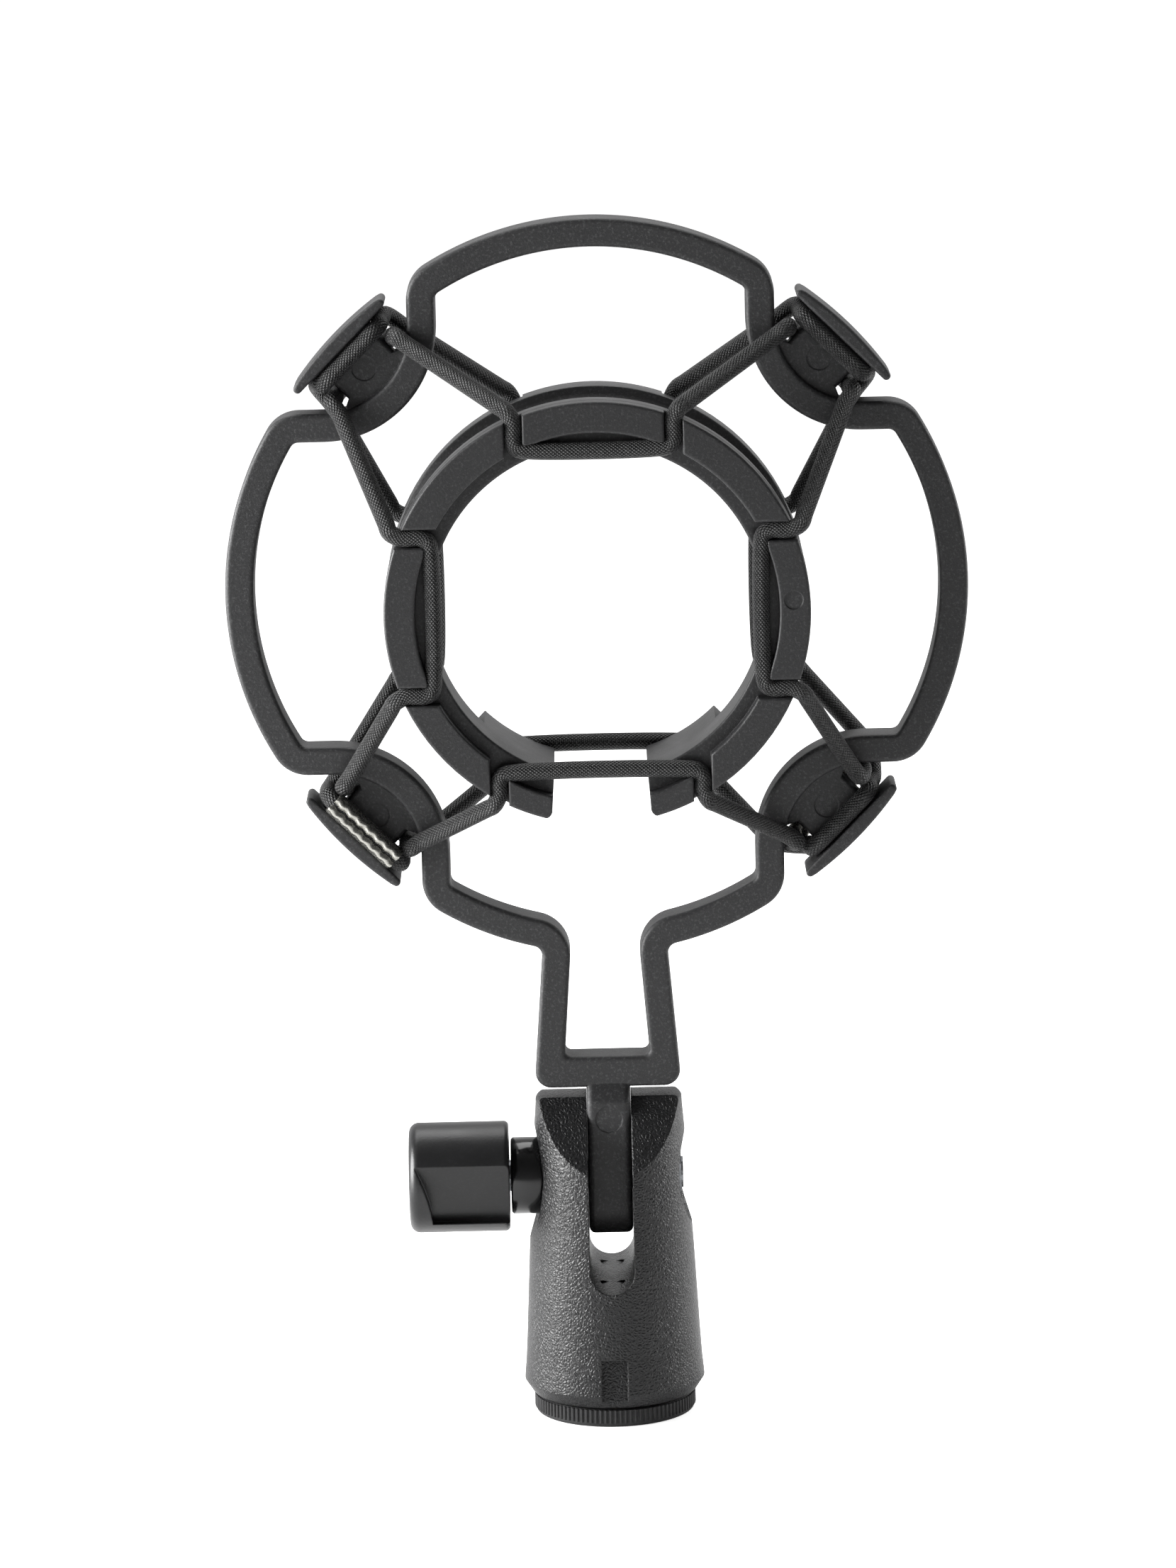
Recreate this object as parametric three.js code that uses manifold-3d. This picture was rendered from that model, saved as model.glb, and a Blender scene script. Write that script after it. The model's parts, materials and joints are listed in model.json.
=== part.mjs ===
// A spider shock mount for a microphone, on its swivel stand adapter.
// Millimetres, +Z up, the front is -Y, and the clamp knob is at -X.
// The origin is the centre of the stand thread's mouth, at the very bottom.
import * as THREE from "three";
import { mergeVertices } from "three/addons/utils/BufferGeometryUtils.js";
import Module from "manifold-3d";

const wasm = await Module();
wasm.setup();

// ---- driving dimensions -------------------------------------------------
const GAP = 0.3; // between pieces that touch
const PIVOT_Z = 37; // height of the tilt axis, which runs along X
const HOOP_Z = 128.3; // height of the hoop's centre
const RING_SAG = 2.3; // the ring hangs this far below the hoop's centre
const RING_Z = HOOP_Z - RING_SAG;

const bar = { width: 4.3, depth: 6.6, edge: 0.5 };
const lobe = { apex: 53.9, radius: 46, side: 25.4, corner: 3.5 };
const saddle = { centre: 40.4 };
const leg = { top: { x: 7.5, z: -57 }, lean: 0.07, fillet: 3.7 };
const stem = { crotch: 56.1, bottom: 51.3, crotchRound: 1.0, bottomRound: 2.4 };
const post = { neckHalf: 5, neckDepth: 4, neckFrom: 43, flangeFrom: 52.9, flangeTo: 54.9 };
const flange = { half: 9.5, depth: 8.8, tip: 1.0 };
const tongue = { half: 3.1, depth: 10.6, bottom: 27.8, shoulder: 49.6, root: 52.8, edge: 0.8 };

const ring = { bore: 25.2, outer: 32, length: 26, groove: 28.2, flangeWidth: 3.4 };
const tab = { inner: 27.3, height: 2.6, half: 10.6, slot: 2.7 };
const mouth = { half: 7.1, footTo: 14, footArc: 28.4 };
const pocket = { depth: 1.6, from: -1, to: 11, angles: [148, 226] };

const cord = { radius: 1.15, clear: 1.5, chord: 24.8, footChord: 24 };
const lane = { inner: 47.7, outer: 51.2, side: 6.5, cross: 3.5, ferruleDetour: 2.8 };
const ferrule = { half: 6.3, wide: 3.3, deep: 3.2, cross: 4.1, side: 7.6, bore: 1.45, inner: 48.6, outer: 51 };

// Each loop rests its spokes on one face of the hoop and crosses every post on the other.
const FRONT = -1;
const REAR = 1;
const frontLoop = { face: FRONT, out: lane.inner, ferruleOut: ferrule.inner, ferrulePost: 3 };
const rearLoop = { face: REAR, out: lane.outer, ferruleOut: ferrule.outer, ferrulePost: 2 };

const housing = {
  profile: [[12.5, 2.6], [13.9, 4.4], [13.35, 12], [12.95, 20], [12.4, 30], [11.6, 43], [11.15, 49], [10.4, 49.8]],
  slotHalf: 3.4, slotBottom: 21, top: 49.8,
};
const facet = { low: { y: 12.5, z: 38 }, high: { y: 2, z: 51 } };
const insert = { outer: 10, thread: 8.05, from: 2.9, to: 15 };
const adapter = { flange: 12.4, thick: 2.3, stud: 7.75, bore: 4.6, top: 11 };
const bolt = { radius: 2.4, hole: 2.75, from: -26, to: 11.2 };
const nut = { radius: 4.3, from: 7.4, to: 10.9 };
const knob = { radius: 8.45, from: -30.8, to: -15.5, round: 1.6 };
const collar = { radius: 5.9, from: -15.2, to: -9.6 };

// ---- helpers ------------------------------------------------------------
const DEG = Math.PI / 180;

/** A closed three.js geometry as a solid that can be joined and cut. */
function solid(geometry) {
  const bare = geometry.clone();
  bare.deleteAttribute("normal");
  bare.deleteAttribute("uv");
  const merged = mergeVertices(bare, 1e-4);
  const vertProperties = new Float32Array(merged.attributes.position.array);
  const triVerts = new Uint32Array(merged.index.array);
  return new wasm.Manifold(new wasm.Mesh({ numProp: 3, vertProperties, triVerts }));
}

/** A cut solid as a three.js geometry again. */
function geometryOf(manifold) {
  const mesh = manifold.getMesh();
  const points = [];
  for (let i = 0; i < mesh.numVert; i += 1) {
    points.push(...mesh.vertProperties.slice(i * mesh.numProp, i * mesh.numProp + 3));
  }
  const geometry = new THREE.BufferGeometry();
  geometry.setAttribute("position", new THREE.Float32BufferAttribute(points, 3));
  geometry.setIndex(Array.from(mesh.triVerts));
  geometry.computeVertexNormals();
  return geometry;
}

/** Joins the extra geometries to a base and then takes the cutters away. */
function carve(base, { add = [], cut = [] }) {
  let body = solid(base);
  for (const piece of add) body = body.add(solid(piece));
  for (const piece of cut) body = body.subtract(solid(piece));
  return geometryOf(body);
}

/** Points of an arc in a plane, from one angle to another in degrees. */
function arc(cx, cz, radius, from, to, steps) {
  const points = [];
  for (let i = 0; i <= steps; i += 1) {
    const angle = (from + ((to - from) * i) / steps) * DEG;
    points.push(new THREE.Vector2(cx + radius * Math.cos(angle), cz + radius * Math.sin(angle)));
  }
  return points;
}

function shapeOf(points, holes = []) {
  const shape = new THREE.Shape(points);
  shape.holes = holes.map((hole) => new THREE.Path(hole));
  return shape;
}

const vec = (x, z) => new THREE.Vector2(x, z);

/** Extrudes an X-Z outline along Y from y0 to y1, its edges rounded by edge. */
function alongY(shape, y0, y1, edge = 0) {
  const geometry = new THREE.ExtrudeGeometry(shape, {
    depth: y1 - y0 - 2 * edge, steps: 1, curveSegments: 6,
    bevelEnabled: edge > 0, bevelThickness: edge, bevelSize: edge, bevelOffset: -edge, bevelSegments: 1,
  });
  geometry.rotateX(Math.PI / 2);
  return geometry.translate(0, y1 - edge, 0);
}

/** Extrudes a Y-Z outline along X from x0 to x1, its edges rounded by edge. */
function alongX(shape, x0, x1, edge = 0) {
  const geometry = new THREE.ExtrudeGeometry(shape, {
    depth: x1 - x0 - 2 * edge, steps: 1, curveSegments: 6,
    bevelEnabled: edge > 0, bevelThickness: edge, bevelSize: edge, bevelOffset: -edge, bevelSegments: 1,
  });
  const basis = new THREE.Matrix4().makeBasis(
    new THREE.Vector3(0, 1, 0), new THREE.Vector3(0, 0, 1), new THREE.Vector3(1, 0, 0));
  geometry.applyMatrix4(basis);
  return geometry.translate(x0 + edge, 0, 0);
}

/** A round profile of [radius, height] points about +Z. */
function turned(profile, segments) {
  const points = profile.map(([r, z]) => vec(r, z));
  return new THREE.LatheGeometry(points, segments).rotateX(Math.PI / 2);
}

/** A rod or hole along X at the tilt axis. */
function rodX(radius, x0, x1, segments = 20) {
  const rod = new THREE.CylinderGeometry(radius, radius, x1 - x0, segments).rotateZ(Math.PI / 2);
  return rod.translate((x0 + x1) / 2, 0, PIVOT_Z);
}

/** A box between two corners. */
function block([x0, y0, z0], [x1, y1, z1]) {
  const box = new THREE.BoxGeometry(x1 - x0, y1 - y0, z1 - z0);
  return box.translate((x0 + x1) / 2, (y0 + y1) / 2, (z0 + z1) / 2);
}

// ---- outer frame --------------------------------------------------------

const turnPoint = (p, quarter) => p.clone().rotateAround(vec(0, 0), quarter * (Math.PI / 2));

/** Where a lobe's long arc meets its corner round: the round's centre and the angle there. */
function lobeCorner() {
  const centreZ = lobe.apex - lobe.radius;
  const reach = lobe.radius - lobe.corner;
  const x = lobe.side - lobe.corner;
  const rise = Math.sqrt(reach * reach - x * x);
  return { centreZ, x, z: centreZ + rise, angle: Math.atan2(rise, x) / DEG };
}

/** Half a lobe and the saddle to its right, drawn for the upper right, clockwise from the apex. */
function lobeThenSaddle(offset) {
  const corner = lobeCorner();
  const inward = saddle.centre - lobe.side;
  return [
    ...arc(0, corner.centreZ, lobe.radius + offset, 90, corner.angle, 8),
    ...arc(corner.x, corner.z, lobe.corner + offset, corner.angle, 0, 4).slice(1),
    ...arc(saddle.centre, saddle.centre, inward - offset, 180, 225, 4),
  ];
}

/** The same points mirrored in the 45 degree line and run backwards. */
function saddleThenLobe(offset) {
  const mirrored = lobeThenSaddle(offset).map((p) => vec(p.y, p.x));
  return mirrored.reverse().slice(1);
}

/** The lower right lobe as it runs into the stem's leg, from its side wall downwards. */
function lobeIntoLeg(offset) {
  const corner = lobeCorner();
  const lean = Math.atan(leg.lean);
  const along = vec(Math.sin(lean), -Math.cos(lean));
  const across = vec(Math.cos(lean), Math.sin(lean));
  const reach = lobe.radius + leg.fillet;
  const start = vec(leg.top.x, leg.top.z).addScaledVector(across, leg.fillet);
  const fromCentre = start.clone().sub(vec(0, -corner.centreZ));
  const b = fromCentre.dot(along);
  const c = fromCentre.lengthSq() - reach * reach;
  const step = -b + Math.sqrt(b * b - c);
  const round = start.clone().addScaledVector(along, step);
  const meet = Math.atan2(round.y + corner.centreZ, round.x) / DEG;
  const legAngle = 180 + lean / DEG;
  return [
    ...arc(corner.x, -corner.z, lobe.corner + offset, 0, -corner.angle, 4),
    ...arc(0, -corner.centreZ, lobe.radius + offset, -corner.angle, meet, 5).slice(1),
    ...arc(round.x, round.y, leg.fillet - offset, meet + 180, legAngle, 5).slice(1),
  ];
}

/** The right-hand half of the hoop and stem, from the top down to the leg's foot. */
function halfOutline(offset, footZ, footRound) {
  const points = [
    ...lobeThenSaddle(offset),
    ...saddleThenLobe(offset),
    ...lobeThenSaddle(offset).map((p) => turnPoint(p, -1)).slice(1),
    ...arc(saddle.centre, -saddle.centre, saddle.centre - lobe.side - offset, 135, 180, 4).slice(1),
    ...lobeIntoLeg(offset),
  ];
  const foot = footZ - HOOP_Z;
  const x = leg.top.x + offset + leg.lean * (leg.top.z - foot);
  points.push(...arc(x - footRound, foot + footRound, footRound, 0, -90, 4));
  return points;
}

function fullOutline(offset, footZ, footRound) {
  const half = halfOutline(offset, footZ, footRound);
  const other = half.slice(1).map((p) => vec(-p.x, p.y)).reverse();
  return [...half, ...other].map((p) => vec(p.x, p.y + HOOP_Z));
}

/** One cord post: a neck and a T-shaped flange, pointing outwards at an angle. */
function cordPost(angle) {
  const neck = block([post.neckFrom, -post.neckDepth / 2, -post.neckHalf],
    [post.flangeFrom + 0.5, post.neckDepth / 2, post.neckHalf]);
  const { half, tip, depth } = flange;
  const rise = post.flangeTo - post.flangeFrom - tip;
  const outline = [vec(post.flangeFrom, half), vec(post.flangeFrom, -half)];
  for (let i = 0; i <= 8; i += 1) {
    const t = -1 + i / 4;
    outline.push(vec(post.flangeFrom + tip + rise * (1 - t * t), half * t));
  }
  const plate = alongY(shapeOf(outline), -depth / 2, depth / 2, 0.35);
  return [neck, plate].map((g) => g.rotateY(-angle * DEG).translate(0, 0, HOOP_Z));
}

/** The tongue that hangs in the clevis: a ramp out of the stem, then a bar with a round end. */
function tongueBlade() {
  const half = tongue.depth / 2;
  const ramp = bar.depth / 2 - 0.9;
  const end = arc(0, tongue.bottom + half, half, 0, -180, 10);
  const outline = [vec(ramp, tongue.root), vec(half, tongue.shoulder), ...end,
    vec(-half, tongue.shoulder), vec(-ramp, tongue.root)];
  return alongX(shapeOf(outline), -tongue.half, tongue.half, tongue.edge);
}

function outerFrame() {
  const half = bar.width / 2;
  const outline = fullOutline(half, stem.bottom, stem.bottomRound);
  const window = fullOutline(-half, stem.crotch, stem.crotchRound).reverse();
  const hoop = alongY(shapeOf(outline, [window]), -bar.depth / 2, bar.depth / 2, bar.edge);
  const posts = [45, 135, 225, 315].flatMap(cordPost);
  return carve(hoop, {
    add: [...posts, tongueBlade()],
    cut: [rodX(bolt.hole, -tongue.half - 1, tongue.half + 1)],
  });
}

// ---- inner ring ---------------------------------------------------------

/** The spool: a tube with a flange at each end and a smooth channel between them. */
function spool() {
  const rim = ring.length / 2 - tab.height;
  const shoulder = rim - ring.flangeWidth;
  const profile = [[ring.bore, -rim], [ring.outer, -rim], [ring.outer, -shoulder], [ring.groove + 1, -shoulder + 1.4],
    [ring.groove, -shoulder + 3.6], [ring.groove, shoulder - 3.6], [ring.groove + 1, shoulder - 1.4],
    [ring.outer, shoulder], [ring.outer, rim], [ring.bore, rim], [ring.bore, -rim]];
  return turned(profile, 72);
}

/** The raised rim that the tabs are cut from, on one end. */
function raisedRim(side) {
  const root = ring.length / 2 - tab.height - 0.4;
  const face = ring.length / 2;
  const low = Math.min(side * root, side * face);
  const high = Math.max(side * root, side * face);
  return turned([[tab.inner, low], [ring.outer, low], [ring.outer, high], [tab.inner, high], [tab.inner, low]], 72);
}

/** Slots beside the tabs, where the cord passes from the bore to the outside. */
function cordSlots(side) {
  const root = ring.length / 2 - tab.height;
  const slots = [];
  for (const quarter of [0, 1, 2, 3]) {
    const from = quarter === 3 ? mouth.footTo : tab.half;
    for (const hand of [-1, 1]) {
      const slot = block([18, Math.min(hand * from, hand * (from + tab.slot)), root],
        [40, Math.max(hand * from, hand * (from + tab.slot)), root + 5]);
      if (side < 0) slot.rotateX(Math.PI);
      slots.push(slot.rotateZ(quarter * 90 * DEG));
    }
  }
  return slots;
}

/** Channels that give the straight runs of cord room behind the tabs' ends. */
function chordChannels(side) {
  const height = side * (ring.length / 2 - tab.height + cord.clear - 0.05);
  return [0, 1, 2, 3].map((quarter) => {
    const foot = quarter === 3;
    const half = (foot ? mouth.footTo : tab.half) + cord.clear;
    const channel = new THREE.CylinderGeometry(cord.clear, cord.clear, 2 * half, 12);
    return channel.translate(foot ? cord.footChord : cord.chord, 0, height).rotateZ(quarter * 90 * DEG);
  });
}

/** The feet beside the mouth are cut back further than the other raised parts. */
function footRelief() {
  const outline = [...arc(0, 0, mouth.footArc, -120, -60, 10), vec(mouth.footArc / 2, -20), vec(-mouth.footArc / 2, -20)];
  const height = 2 * tab.height;
  const body = new THREE.ExtrudeGeometry(shapeOf(outline), { depth: height, bevelEnabled: false });
  return [body.clone().translate(0, 0, ring.length / 2 - tab.height), body.translate(0, 0, -ring.length / 2 - tab.height)];
}

/** Shallow pockets in the bore wall, one on each side. */
function borePocket(hand) {
  const [from, to] = pocket.angles;
  const points = [...arc(0, 0, ring.bore - 2, from, to, 10), ...arc(0, 0, ring.bore + pocket.depth, to, from, 10)];
  const body = new THREE.ExtrudeGeometry(shapeOf(points), { depth: pocket.to - pocket.from, bevelEnabled: false });
  body.translate(0, 0, -pocket.to);
  return hand < 0 ? body : body.rotateY(Math.PI).translate(0, 0, -pocket.from - pocket.to);
}

function innerRing() {
  const mouthCut = block([-mouth.half, -40, -20], [mouth.half, -15, 20]);
  const body = carve(spool(), {
    add: [raisedRim(-1), raisedRim(1)],
    cut: [...cordSlots(-1), ...cordSlots(1), ...chordChannels(-1), ...chordChannels(1), mouthCut,
      borePocket(-1), borePocket(1), ...footRelief()],
  });
  // Built about +Z with its front up, then laid down so that its axis runs along Y.
  return body.rotateX(Math.PI / 2).translate(0, 0, RING_Z);
}

// ---- elastic cords ------------------------------------------------------

const radial = (angle, out, along, y, centreZ) => new THREE.Vector3(
  out * Math.cos(angle * DEG) - along * Math.sin(angle * DEG), y,
  centreZ + out * Math.sin(angle * DEG) + along * Math.cos(angle * DEG));

/** The run round one post, counter-clockwise; face is -1 where the spokes are in front. */
function postRun(angle, face, out, ferruled) {
  const { side, cross } = ferruled ? ferrule : lane;
  const flat = ferruled ? ferrule.half + 0.2 : 4.9;
  const turn = ferruled ? [7.5, 3.2] : [6.2, 2.8];
  const lead = face === FRONT ? [side + 0.5, -3.9] : [side + 0.9, -4.2];
  const arrive = [lead, [side, -1.4], [side, 1.2], turn, [flat, cross]];
  const before = arrive.map(([t, y]) => radial(angle, out, -t, -face * y, HOOP_Z));
  const after = arrive.map(([t, y]) => radial(angle, out, t, -face * y, HOOP_Z)).reverse();
  return { before, after };
}

/** Where a spoke rests on the hoop's face beside a post. It runs straight from here to its slot. */
function overHoop(angle, hand, face) {
  const [out, along, lift] = face === FRONT ? [46.2, 7.4, 4.85] : [47.4, 8.2, 5.2];
  const besideFerrule = face === REAR && angle === 45 + 90 * frontLoop.ferrulePost;
  const shift = besideFerrule ? lane.ferruleDetour : 0;
  return radial(angle, out, hand * (along + shift), face * lift, HOOP_Z);
}

/** From outside the ring, in through a slot to the end of a straight run. */
function slotRun(quarter, hand, face) {
  const foot = quarter === 3;
  const at = (foot ? mouth.footTo : tab.half) + tab.slot / 2;
  const chord = foot ? cord.footChord : cord.chord;
  const y = face * (ring.length / 2 - tab.height + cord.clear);
  const steps = [[chord + 6.9, at + 1.9], [chord + 5, at + 0.15], [chord + 1.5, at + 0.1], [chord + 0.35, at - 0.5],
    [chord, at - 1.9]];
  return steps.map(([out, along]) => radial(quarter * 90, out, hand * along, y, RING_Z));
}

/** One whole loop, starting and ending inside its ferrule. */
function cordRoute({ face, out, ferruleOut, ferrulePost }) {
  const points = [];
  for (let i = 0; i < 4; i += 1) {
    const index = (ferrulePost + i) % 4;
    const next = (index + 1) % 4;
    const [angle, nextAngle] = [45 + 90 * index, 45 + 90 * next];
    const [first, last] = [i === 0, i === 3];
    const here = postRun(angle, face, first ? ferruleOut : out, first);
    const there = postRun(nextAngle, face, last ? ferruleOut : out, last);
    if (first) points.push(radial(angle, ferruleOut, 0.2, -face * ferrule.cross, HOOP_Z));
    points.push(...here.after, overHoop(angle, 1, face));
    points.push(...slotRun(next, -1, face), ...slotRun(next, 1, face).reverse());
    points.push(overHoop(nextAngle, -1, face), ...there.before);
    if (last) points.push(radial(nextAngle, ferruleOut, -0.2, -face * ferrule.cross, HOOP_Z));
  }
  return points;
}

/** A curve whose sections follow its own points, so that bends get more of them. */
class RouteCurve extends THREE.CatmullRomCurve3 {
  getPointAt(u, target) {
    return this.getPoint(u, target);
  }

  getTangentAt(u, target) {
    return this.getTangent(u, target);
  }

  getSpacedPoints(divisions) {
    return this.getPoints(divisions);
  }
}

function cordLoop(loop) {
  const route = cordRoute(loop);
  const path = new RouteCurve(route, false, "centripetal");
  const section = shapeOf(arc(0, 0, cord.radius, 0, 315, 7));
  return new THREE.ExtrudeGeometry(section, { steps: route.length - 1, extrudePath: path });
}

/** The crimped sleeve that joins a loop's two ends, on one post. */
function crimpFerrule({ face, ferruleOut, ferrulePost }) {
  const { wide, deep, half, bore, cross } = ferrule;
  const outline = new THREE.Shape();
  outline.absarc(-(wide - deep) / 2, 0, deep / 2, Math.PI / 2, (3 * Math.PI) / 2, false);
  outline.absarc((wide - deep) / 2, 0, deep / 2, -Math.PI / 2, Math.PI / 2, false);
  outline.holes = [new THREE.Path(arc(0, 0, bore, 0, -330, 11))];
  const sleeve = new THREE.ExtrudeGeometry(outline, { depth: 2 * half, bevelEnabled: false, curveSegments: 10 });
  sleeve.translate(0, 0, -half);
  sleeve.translate(ferruleOut, -face * cross, 0);
  return sleeve.rotateY(-(45 + 90 * ferrulePost) * DEG).translate(0, 0, HOOP_Z);
}

// ---- swivel stand adapter ----------------------------------------------

/** The sloping cut at the top of both prongs that lets the stem lean over. */
function tiltFacet(face) {
  const { low, high } = facet;
  const outline = [vec(face * low.y, low.z), vec(face * high.y, high.z), vec(face * 20, high.z), vec(face * 20, low.z)];
  return alongX(shapeOf(outline), -16, 16);
}

function clevisSlot() {
  const { slotHalf, slotBottom, top } = housing;
  const outline = [...arc(0, slotBottom + slotHalf, slotHalf, 180, 360, 10), vec(slotHalf, top + 2), vec(-slotHalf, top + 2)];
  return alongY(shapeOf(outline), -18, 18);
}

/** The pocket low on the front, with a floor that slopes out to the rim. */
function keyPocket() {
  return alongX(shapeOf([vec(-15, 1.5), vec(-13, 1.5), vec(-12, 10.6), vec(-15, 10.6)]), -2, 2);
}

function swivelHousing() {
  const profile = [[0, housing.profile[0][1]], ...housing.profile, [0, housing.top]];
  const dish = new THREE.SphereGeometry(16, 32, 20).translate(-25.2, 0, PIVOT_Z);
  const seat = rodX(collar.radius + GAP, -20, collar.to + GAP, 32);
  const cone = new THREE.CylinderGeometry(9.6, 3.6, 4, 28).rotateZ(-Math.PI / 2).translate(12.6, 0, PIVOT_Z);
  const hex = new THREE.CylinderGeometry(nut.radius + 0.35, nut.radius + 0.35, 7, 6);
  hex.rotateZ(Math.PI / 2).translate(nut.from - GAP + 3.5, 0, PIVOT_Z);
  const threadBore = turned([[0, 0], [insert.outer + GAP, 0], [insert.outer + GAP, insert.to + GAP],
    [0, insert.to + GAP]], 40);
  const dimples = [-5.4, 7].map((y) => new THREE.CylinderGeometry(1.9, 1.9, 3, 16).rotateX(Math.PI / 2)
    .translate(0, y, housing.slotBottom + 0.7));
  return carve(turned(profile, 56), {
    cut: [clevisSlot(), tiltFacet(-1), tiltFacet(1), keyPocket(), dish, seat, cone, hex, threadBore,
      rodX(bolt.hole, -16, 16), ...dimples],
  });
}

function threadInsert() {
  const { outer, thread, from, to } = insert;
  return turned([[thread, from], [outer, from], [outer, to], [thread, to], [thread, from]], 40);
}

function threadAdapter() {
  const { flange: rim, thick, stud, bore, top } = adapter;
  return turned([[bore, 0], [rim - 0.4, 0], [rim, 0.4], [rim, thick], [stud, thick], [stud, top], [bore, top],
    [bore, 0]], 48);
}

/** One finger recess in the knob: a wedge whose outer end leans outwards. */
function fingerRecess() {
  const wedge = alongX(shapeOf([vec(-7.75, 3.5), vec(-4.4, -6), vec(-12, -6), vec(-12, 3.5)]), -10, 10);
  const position = wedge.attributes.position;
  for (let i = 0; i < position.count; i += 1) {
    const endX = position.getX(i) < 0 ? -27.3 - (0.263 * (position.getZ(i) + 6)) : knob.to + 2;
    position.setX(i, endX);
  }
  return wedge;
}

function clampKnob() {
  const { radius, from, to, round } = knob;
  const end = arc(radius - round, to - from - round, round, 0, 90, 4).map((p) => [p.x, p.y]);
  const body = turned([[0, 0], [radius, 0], ...end, [0, to - from]], 40);
  body.rotateY(-Math.PI / 2).translate(to, 0, 0);
  const recess = fingerRecess();
  const opposite = recess.clone().rotateX(Math.PI);
  const bore = rodX(bolt.radius + GAP, bolt.from - GAP, to + 1).translate(0, 0, -PIVOT_Z);
  return carve(body, { cut: [recess, opposite, bore] }).translate(0, 0, PIVOT_Z);
}

function knobCollar() {
  const body = rodX(collar.radius, collar.from, collar.to, 36);
  return carve(body, { cut: [rodX(bolt.radius + GAP, collar.from - 1, collar.to + 1)] });
}

function clampNut() {
  const body = new THREE.CylinderGeometry(nut.radius, nut.radius, nut.to - nut.from, 6).rotateZ(Math.PI / 2);
  body.translate((nut.from + nut.to) / 2, 0, PIVOT_Z);
  return carve(body, { cut: [rodX(bolt.radius + GAP, nut.from - 1, nut.to + 1)] });
}

// ---- materials and assembly ---------------------------------------------
const finishes = {
  mouldedBlack: { color: 0x2b2b2c, roughness: 0.62, metalness: 0 },
  grainedBlack: { color: 0x1d1d1e, roughness: 0.45, metalness: 0 },
  satinBlack: { color: 0x1b1b1c, roughness: 0.38, metalness: 0 },
  braidedBlack: { color: 0x19191a, roughness: 0.9, metalness: 0 },
  nickel: { color: 0xc9c9c6, roughness: 0.15, metalness: 1 },
  brass: { color: 0xb08d4a, roughness: 0.3, metalness: 1 },
  zincSteel: { color: 0xa9abad, roughness: 0.35, metalness: 1 },
};

const group = new THREE.Group();

function place(name, geometry, finish) {
  const mesh = new THREE.Mesh(geometry, new THREE.MeshStandardMaterial(finishes[finish]));
  mesh.name = name;
  group.add(mesh);
}

place("swivel_housing", swivelHousing(), "grainedBlack");
place("thread_insert", threadInsert(), "brass");
place("thread_adapter", threadAdapter(), "mouldedBlack");
place("clamp_bolt", rodX(bolt.radius, bolt.from, bolt.to), "zincSteel");
place("clamp_nut", clampNut(), "zincSteel");
place("clamp_knob", clampKnob(), "satinBlack");
place("knob_collar", knobCollar(), "satinBlack");
place("outer_frame", outerFrame(), "mouldedBlack");
place("inner_ring", innerRing(), "mouldedBlack");
place("cord_front_loop", cordLoop(frontLoop), "braidedBlack");
place("cord_rear_loop", cordLoop(rearLoop), "braidedBlack");
place("ferrule_front_loop", crimpFerrule(frontLoop), "nickel");
place("ferrule_rear_loop", crimpFerrule(rearLoop), "nickel");

export default group;
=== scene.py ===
"""A spider shock mount for a microphone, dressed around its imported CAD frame.

Sizes in the dataclasses are millimetres. Z is up, the front is -Y, and the clamp knob is at -X.
"""

import json
import logging
import math
from dataclasses import dataclass, field
from enum import Enum
from typing import Any, Callable, Iterable, Sequence

import bmesh
import bpy
from mathutils import Euler, Matrix, Vector

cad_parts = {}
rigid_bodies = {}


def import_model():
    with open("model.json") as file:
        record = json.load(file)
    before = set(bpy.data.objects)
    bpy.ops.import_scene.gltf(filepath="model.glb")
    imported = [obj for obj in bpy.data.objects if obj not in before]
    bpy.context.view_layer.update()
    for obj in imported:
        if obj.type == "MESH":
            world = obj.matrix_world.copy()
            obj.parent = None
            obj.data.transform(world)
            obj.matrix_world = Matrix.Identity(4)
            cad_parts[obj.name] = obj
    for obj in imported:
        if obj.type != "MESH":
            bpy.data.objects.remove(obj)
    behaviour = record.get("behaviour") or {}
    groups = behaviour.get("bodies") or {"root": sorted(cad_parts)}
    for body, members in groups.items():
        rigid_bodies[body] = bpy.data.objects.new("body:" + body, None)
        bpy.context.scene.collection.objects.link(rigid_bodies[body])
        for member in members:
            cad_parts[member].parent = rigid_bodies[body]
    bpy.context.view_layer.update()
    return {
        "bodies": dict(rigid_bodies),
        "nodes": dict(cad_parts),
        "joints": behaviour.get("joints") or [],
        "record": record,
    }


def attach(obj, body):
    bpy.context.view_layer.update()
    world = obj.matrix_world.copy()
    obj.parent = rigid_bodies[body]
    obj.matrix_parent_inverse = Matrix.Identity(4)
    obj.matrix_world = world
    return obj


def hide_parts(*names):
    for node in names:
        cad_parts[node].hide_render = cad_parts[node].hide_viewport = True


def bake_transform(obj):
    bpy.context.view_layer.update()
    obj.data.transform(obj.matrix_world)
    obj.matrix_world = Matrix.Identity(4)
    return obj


log = logging.getLogger("shock_mount")

MM = 0.001
TAU = 2 * math.pi
SAME_POINT = 1e-7
HOOP_Z = 128.3
RING_Z = 126.0
PIVOT_Z = 37.0
POST_ANGLES = (45, 135, 225, 315)
Point = tuple[float, float]
Coordinates = Sequence[float]
Piece = bpy.types.Object
Socket = bpy.types.NodeSocket
Tree = bpy.types.NodeTree
Material = bpy.types.Material


# ---- shapes ----------------------------------------------------------------


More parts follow.
